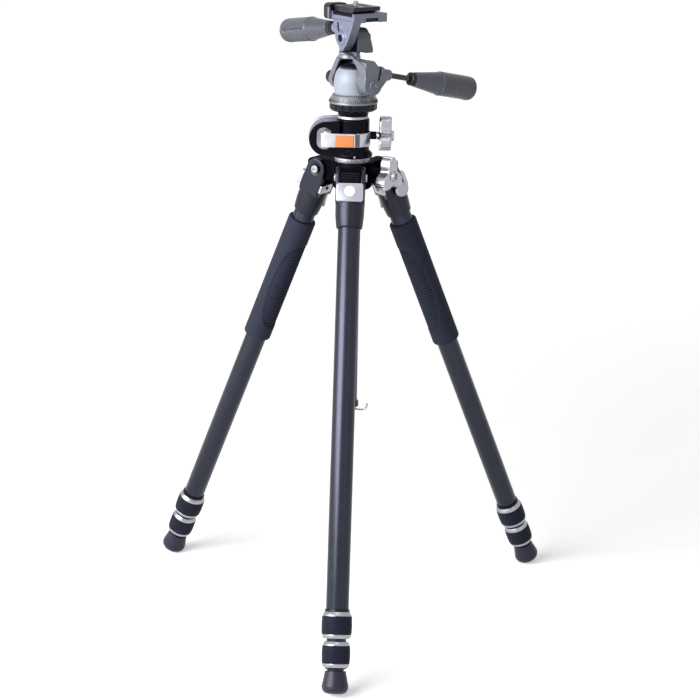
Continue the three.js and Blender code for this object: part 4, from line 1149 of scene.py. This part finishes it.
eye_ring = moved(turned(eye_ring, 0.4), roll_axle)
pin = moved(rod(ROLL_PIN_RADIUS, -8, 21), roll_axle)
cuts = [bore, slit, screw_bore, eyelet, hollow, channel]
bracket = cast([wedge, platform, boss, pin, eye_ring], cuts, 0.5, 2)
add("roll_bracket_casting", bracket, head, bracket_grey, "bracket", "grey_metal", "roll_bracket")
jaw = bevelled(box((1.2, 18.4), (-19.6, 20), (PLATFORM_LOW + 0.4, PLATFORM_LOW + 4.6)), 0.6)
add("platform_jaw", jaw, head, plug_black, "bracket", "dark_plastic")
bed = box((-16.8, 30), (-18.1, 20.7), (PLATFORM_HIGH - 3.7, PLATFORM_HIGH - 0.2))
bed = carved([bed], [moved(rod(3.5, 90, 120), screw_line)], 0.3)
add("platform_bed", bed, head, pit_black, "bracket", "dark_plastic")
# A black friction washer round the roll pin; its black is also painted shade between the bracket
# and the post.
shade_washer = moved(pipe(4.2, 11, -6.5, -4.6), roll_axle)
add("roll_friction_shade_washer", shade_washer, head, pit_black, "bracket", "dark_plastic")
hole_plug = [(0, -19), (2, -19), (2.4, -18.4), (4.2, -18.4), (4.2, -16.5), (0, -16.5)]
hole_plug = moved(turned(hole_plug, 0.2), roll_axle)
add("bracket_eye_plug", hole_plug, head, pit_black, "bracket", "dark_plastic")

# ---------- Handles ----------
# Two rods with the same moulded grip. A black notched collar stops the rod at the grip, which
# widens in a cone to a long body of matt plastic. Twisting the grip clamps its axis.
ROD_RADIUS = 3.3
GRIP_LENGTH = 92
GRIP_RADIUS = 14.5
GRIP_BORE = 3.6
CONE_LENGTH = 37
ROD_IN_GRIP = 46
DASH_PITCH = 2.7
DASH_LENGTH = 5.4
rod_black = finish("gloss_black_rod", (0.006, 0.006, 0.008), 0.12, shine=0.5)
grip_grey = finish("grey_moulded_grip", (0.06, 0.065, 0.084), 0.28, grain=0.3, bump=0.08)


def handle_grip(stop, end, strip):
    """A cone and a long body with a smooth strip on top and slanting dashes on the rest."""
    body_start, body_end = stop + CONE_LENGTH + 1.5, end - 9
    rows = round((body_end - body_start) / 0.42)
    span = body_end - body_start
    wall = [(GRIP_RADIUS, body_start + span * i / rows, 0) for i in range(rows + 1)]
    cone = above(stop, [(GRIP_BORE, 0.3), (8.2, 0.3, 0.4), (8.6, 1.4, 0.6)])
    bore_end = stop + ROD_IN_GRIP + 0.3
    shape = turned([
        *cone, (13.5, stop + CONE_LENGTH - 0.6, 0.4), (14.4, stop + CONE_LENGTH + 0.4, 0.3), *wall,
        (GRIP_RADIUS, end - 7.6, 0.3), (14, end - 7.2, 0.2), (14, end - 6.8, 0.2),
        (14.3, end - 6.4, 0.3), (14, end - 3.6, 2), (12.2, end - 1.1, 1.5), (8.5, end, 1.5),
        (0, end), (0, bore_end), (GRIP_BORE, bore_end),
    ], 0.3, steps=144)
    for vert in shape.verts:
        if not body_start - 0.01 < vert.co.z < body_end + 0.01 or vert.co.xy.length < 14:
            continue
        angle = math.degrees(math.atan2(vert.co.y, -vert.co.x))
        off_strip = min(1, max(0, (abs(angle) - strip) / 2.5))
        groove = max(0, 1 - abs(abs(angle) - strip - 1.5) / 2.6)
        from_end = min(vert.co.z - body_start, body_end - vert.co.z)
        inside = off_strip * min(1, max(0, from_end / 0.8))
        arc_length = math.radians(angle) * GRIP_RADIUS
        across = 0.8 * vert.co.z + 0.6 * arc_length
        along = 0.6 * vert.co.z - 0.8 * arc_length
        stripe = math.cos(2 * math.pi * across / DASH_PITCH)
        every_other = 0.5 * (round(across / DASH_PITCH) % 2)
        dash = math.cos(2 * math.pi * (along / DASH_LENGTH + every_other))
        raised = min(1, max(0, 2 * stripe + 1)) * min(1, max(0, 3 * dash + 2.4))
        sink = max(inside * (0.75 - 0.5 * raised), 1.1 * groove)
        vert.co.xy *= 1 - sink / GRIP_RADIUS
    return shape


for name, line, start, first, gap, strip, length, body in (
    ("tilt", tilt_line, 58.0, 16.3, 6, 70, GRIP_LENGTH - 3, "tilt_handle"),
    ("roll", roll_line, 22.5, 9.7, 9.5, 84, GRIP_LENGTH + 1.5, "roll_handle"),
):
    stop = start + gap
    rod_shape = rod(ROD_RADIUS, first, stop + ROD_IN_GRIP, 72, 0.3)
    line = head @ line
    add(f"{name}_handle_rod", rod_shape, line, rod_black, body, "dark_plastic", f"{name}_rod")
    notched = above(start, [
        (ROD_RADIUS, 0), (6.6, 0), (7.8, 0.8), (7.8, 2), (6.7, 2.4), (6.7, 3.2), (7.8, 3.6),
    ])
    collar = turned([*notched, (7.8, stop), (ROD_RADIUS, stop)], 0.2, True)
    add(f"{name}_handle_collar", collar, line, plug_black, body, "dark_plastic")
    grip = handle_grip(stop, stop + length, strip)
    add(f"{name}_handle_grip", grip, line, grip_grey, body, "dark_metal", f"{name}_grip")

# ---------- Camera plate ----------
# A black plate with a slotted bright screw drops into the platform and is held by a sprung lever
# at the left, a rounded dark moulding with a bright plate between it and the platform.
plate_black = finish("plate_plastic", (0.008, 0.008, 0.014), 0.3, grain=0.3, bump=0.08, shine=0.35)
low, high = reach("quick_plate", head)
cx, cy = (low.x + high.x) / 2, (low.y + high.y) / 2
low.x, high.x = low.x + 0.6, high.x + 4
dovetail = [
    (low.y + 2.5, low.z), (high.y - 2.5, low.z), (high.y, low.z + 3.4), (high.y, high.z),
    (low.y, high.z), (low.y, low.z + 3.4),
]
screw_hole = moved(rod(SCREW_BORE, low.z - 5, high.z + 5), shift(cx, cy, 0))
foot_cut = box((high.x - 5.8, high.x + 1), (low.y - 1, high.y + 1), (low.z - 1, low.z + 1.9))
slots = [
    box((cx + s * 9 - 3.5, cx + s * 9 + 3.5), (cy - 14, cy + 14), (high.z - 1.2, high.z + 1))
    for s in (-1, 1)
]
plate = carved([across_x(dovetail, low.x, high.x)], [screw_hole, foot_cut, *slots], 0.5)
add("camera_plate", plate, head, plate_black, "quick_plate", "dark_plastic", "quick_plate")
low, high = reach("camera_screw", head)
thread = [(3.1 if i % 2 else 2.7, high.z - 6 + 0.5 * i, 0.1) for i in range(11)]
screw = turned([
    (0, low.z), (3.1, low.z), (3.1, high.z - 6.4), *thread, (2.2, high.z, 0.3), (0, high.z)
], 0.1, steps=40)
screw, body = moved(screw, shift(cx, cy, 0)), "camera_screw"
add("plate_screw", screw, head, ring_metal, body, "bright_aluminium", body)
low, high = reach("plate_release_lever", head)
length, depth, tall = high.x - low.x, high.y - low.y, high.z - low.z
low.x, length = low.x - 1.5, length + 1.5
middle = (low.x + high.x) / 2
bar = rounded(length, depth, depth / 2 - 0.1, middle, (low.y + high.y) / 2)
bar = slab(bar, low.z, high.z)
side_view = rounded(length, tall, tall / 2 - 1, middle, (low.z + high.z) / 2)
side_view = across_y(side_view, low.y - 1, high.y + 1)
lever = cast([overlap(bar, side_view)], [], 0.5, 4)
body = "plate_release_lever"
add("release_lever", lever, head, plug_black, body, "dark_plastic", body)
plate = box((low.x + 0.8, -17.2), (low.y - 0.9, low.y + 1.6), (low.z + 1.2, high.z - 4.5))
add("release_lever_plate", bevelled(plate, 0.6), head, bracket_grey, body, "grey_metal")

# ---------- Studio ----------
# A pale floor under soft light: a broad key light and a side light from the left, a weak one from
# the right and one above, with a white surround that the camera and the metal see.
AMBIENT = 0.12
FLOOR_SIZE = 20
FLOOR_GAP = 0.0005
LIT_HEIGHT = 0.42
GLOW_NEAR = 0.45
GLOW_FAR = 0.86
NEAR, FAR = 0.3, 3
WHITE = (1, 1, 1, 1)


def seen_level(tree, unseen, seen):
    """A level that is seen for camera, gloss and glass rays, and unseen for light on things."""
    camera, gloss, glass = (
        shader_node(tree, "ShaderNodeLightPath", output=f"Is {kind} Ray")
        for kind in ("Camera", "Glossy", "Transmission")
    )
    either = shader_node(tree, "ShaderNodeMath", {0: camera, 1: gloss}, operation="MAXIMUM")
    level = shader_node(tree, "ShaderNodeMath", {0: either, 1: glass}, operation="MAXIMUM")
    ends = {"To Min": unseen, "To Max": seen}
    return shader_node(tree, "ShaderNodeMapRange", {"Value": level, **ends})


floor_paint = bpy.data.materials.new("studio_floor")
floor_paint.use_nodes = True
tree = floor_paint.node_tree
spot = shader_node(tree, "ShaderNodeTexCoord", output="Object")
distance = shader_node(tree, "ShaderNodeVectorMath", {0: spot}, "Value", operation="LENGTH")
ends = {"From Min": NEAR, "From Max": FAR, "To Min": GLOW_NEAR, "To Max": GLOW_FAR}
glow = {"Value": distance, **ends}
glow = shader_node(tree, "ShaderNodeMapRange", glow, interpolation_type="SMOOTHSTEP")
seen_glow = {0: seen_level(tree, 0, 1), 1: glow}
seen_glow = shader_node(tree, "ShaderNodeMath", seen_glow, operation="MULTIPLY")
matt = {"Base Color": (0.9, 0.9, 0.9, 1), "Roughness": 0.9}
shine = {"Emission Color": WHITE, "Emission Strength": seen_glow}
feed(tree, tree.nodes["Principled BSDF"], {**matt, **shine})
ground = bmesh.new()
bmesh.ops.create_grid(ground, x_segments=1, y_segments=1, size=FLOOR_SIZE)
floor_mesh = bpy.data.meshes.new("floor")
ground.to_mesh(floor_mesh)
ground.free()
floor_mesh.materials.append(floor_paint)
floor_mesh.transform(shift(0, 0, cad_box[0].z - FLOOR_GAP))
floor = linked("floor", floor_mesh)

world = bpy.data.worlds.new("studio")
bpy.context.scene.world = world
world.use_nodes = True
tree = world.node_tree
sky = {"Color": WHITE, "Strength": seen_level(tree, AMBIENT, 1)}
feed(tree, tree.nodes["Background"], sky)


def lamp(name, place, width, height, brightness):
    """A rectangular soft light of a given brightness that faces the middle of the tripod."""
    light = bpy.data.lights.new(name, "AREA")
    light.shape = "RECTANGLE"
    light.size, light.size_y = width, height
    light.energy = brightness * math.pi * width * height
    made = linked(name, light)
    made.location = place
    aim = Vector((0, 0, LIT_HEIGHT)) - Vector(place)
    made.rotation_euler = aim.to_track_quat("-Z", "Y").to_euler()


lamp("key_light", (-1.76, -1.5, 1.42), 2.15, 1.4, 11.2)
lamp("side_light", (-2.3, -0.2, 0.8), 1.2, 1, 1.6)
lamp("fill_light", (1.3, -1.7, 1.2), 0.3, 1.2, 0.9)
lamp("top_light", (0.1, -0.5, 2.3), 1.2, 1.2, 1)

# ---------- Camera ----------
# A long lens at chest height, tilted down a little, with the tripod nearly filling the frame.
CAMERA_PLACE = Vector((0.0791, -2.1161, 0.9723))
CAMERA_TURN = 2.05
CAMERA_DOWN = 16.47
CAMERA_ROLL = 0.96
LENS = 96.3
camera = linked("camera", bpy.data.cameras.new("camera"))
camera.data.lens = LENS
camera.data.sensor_width = 36
camera.location = CAMERA_PLACE
look = about_z(CAMERA_TURN) @ about_x(90 - CAMERA_DOWN)
camera.rotation_euler = (look @ about_z(CAMERA_ROLL)).to_euler()
bpy.context.scene.camera = camera
bpy.context.scene.view_settings.view_transform = "Standard"
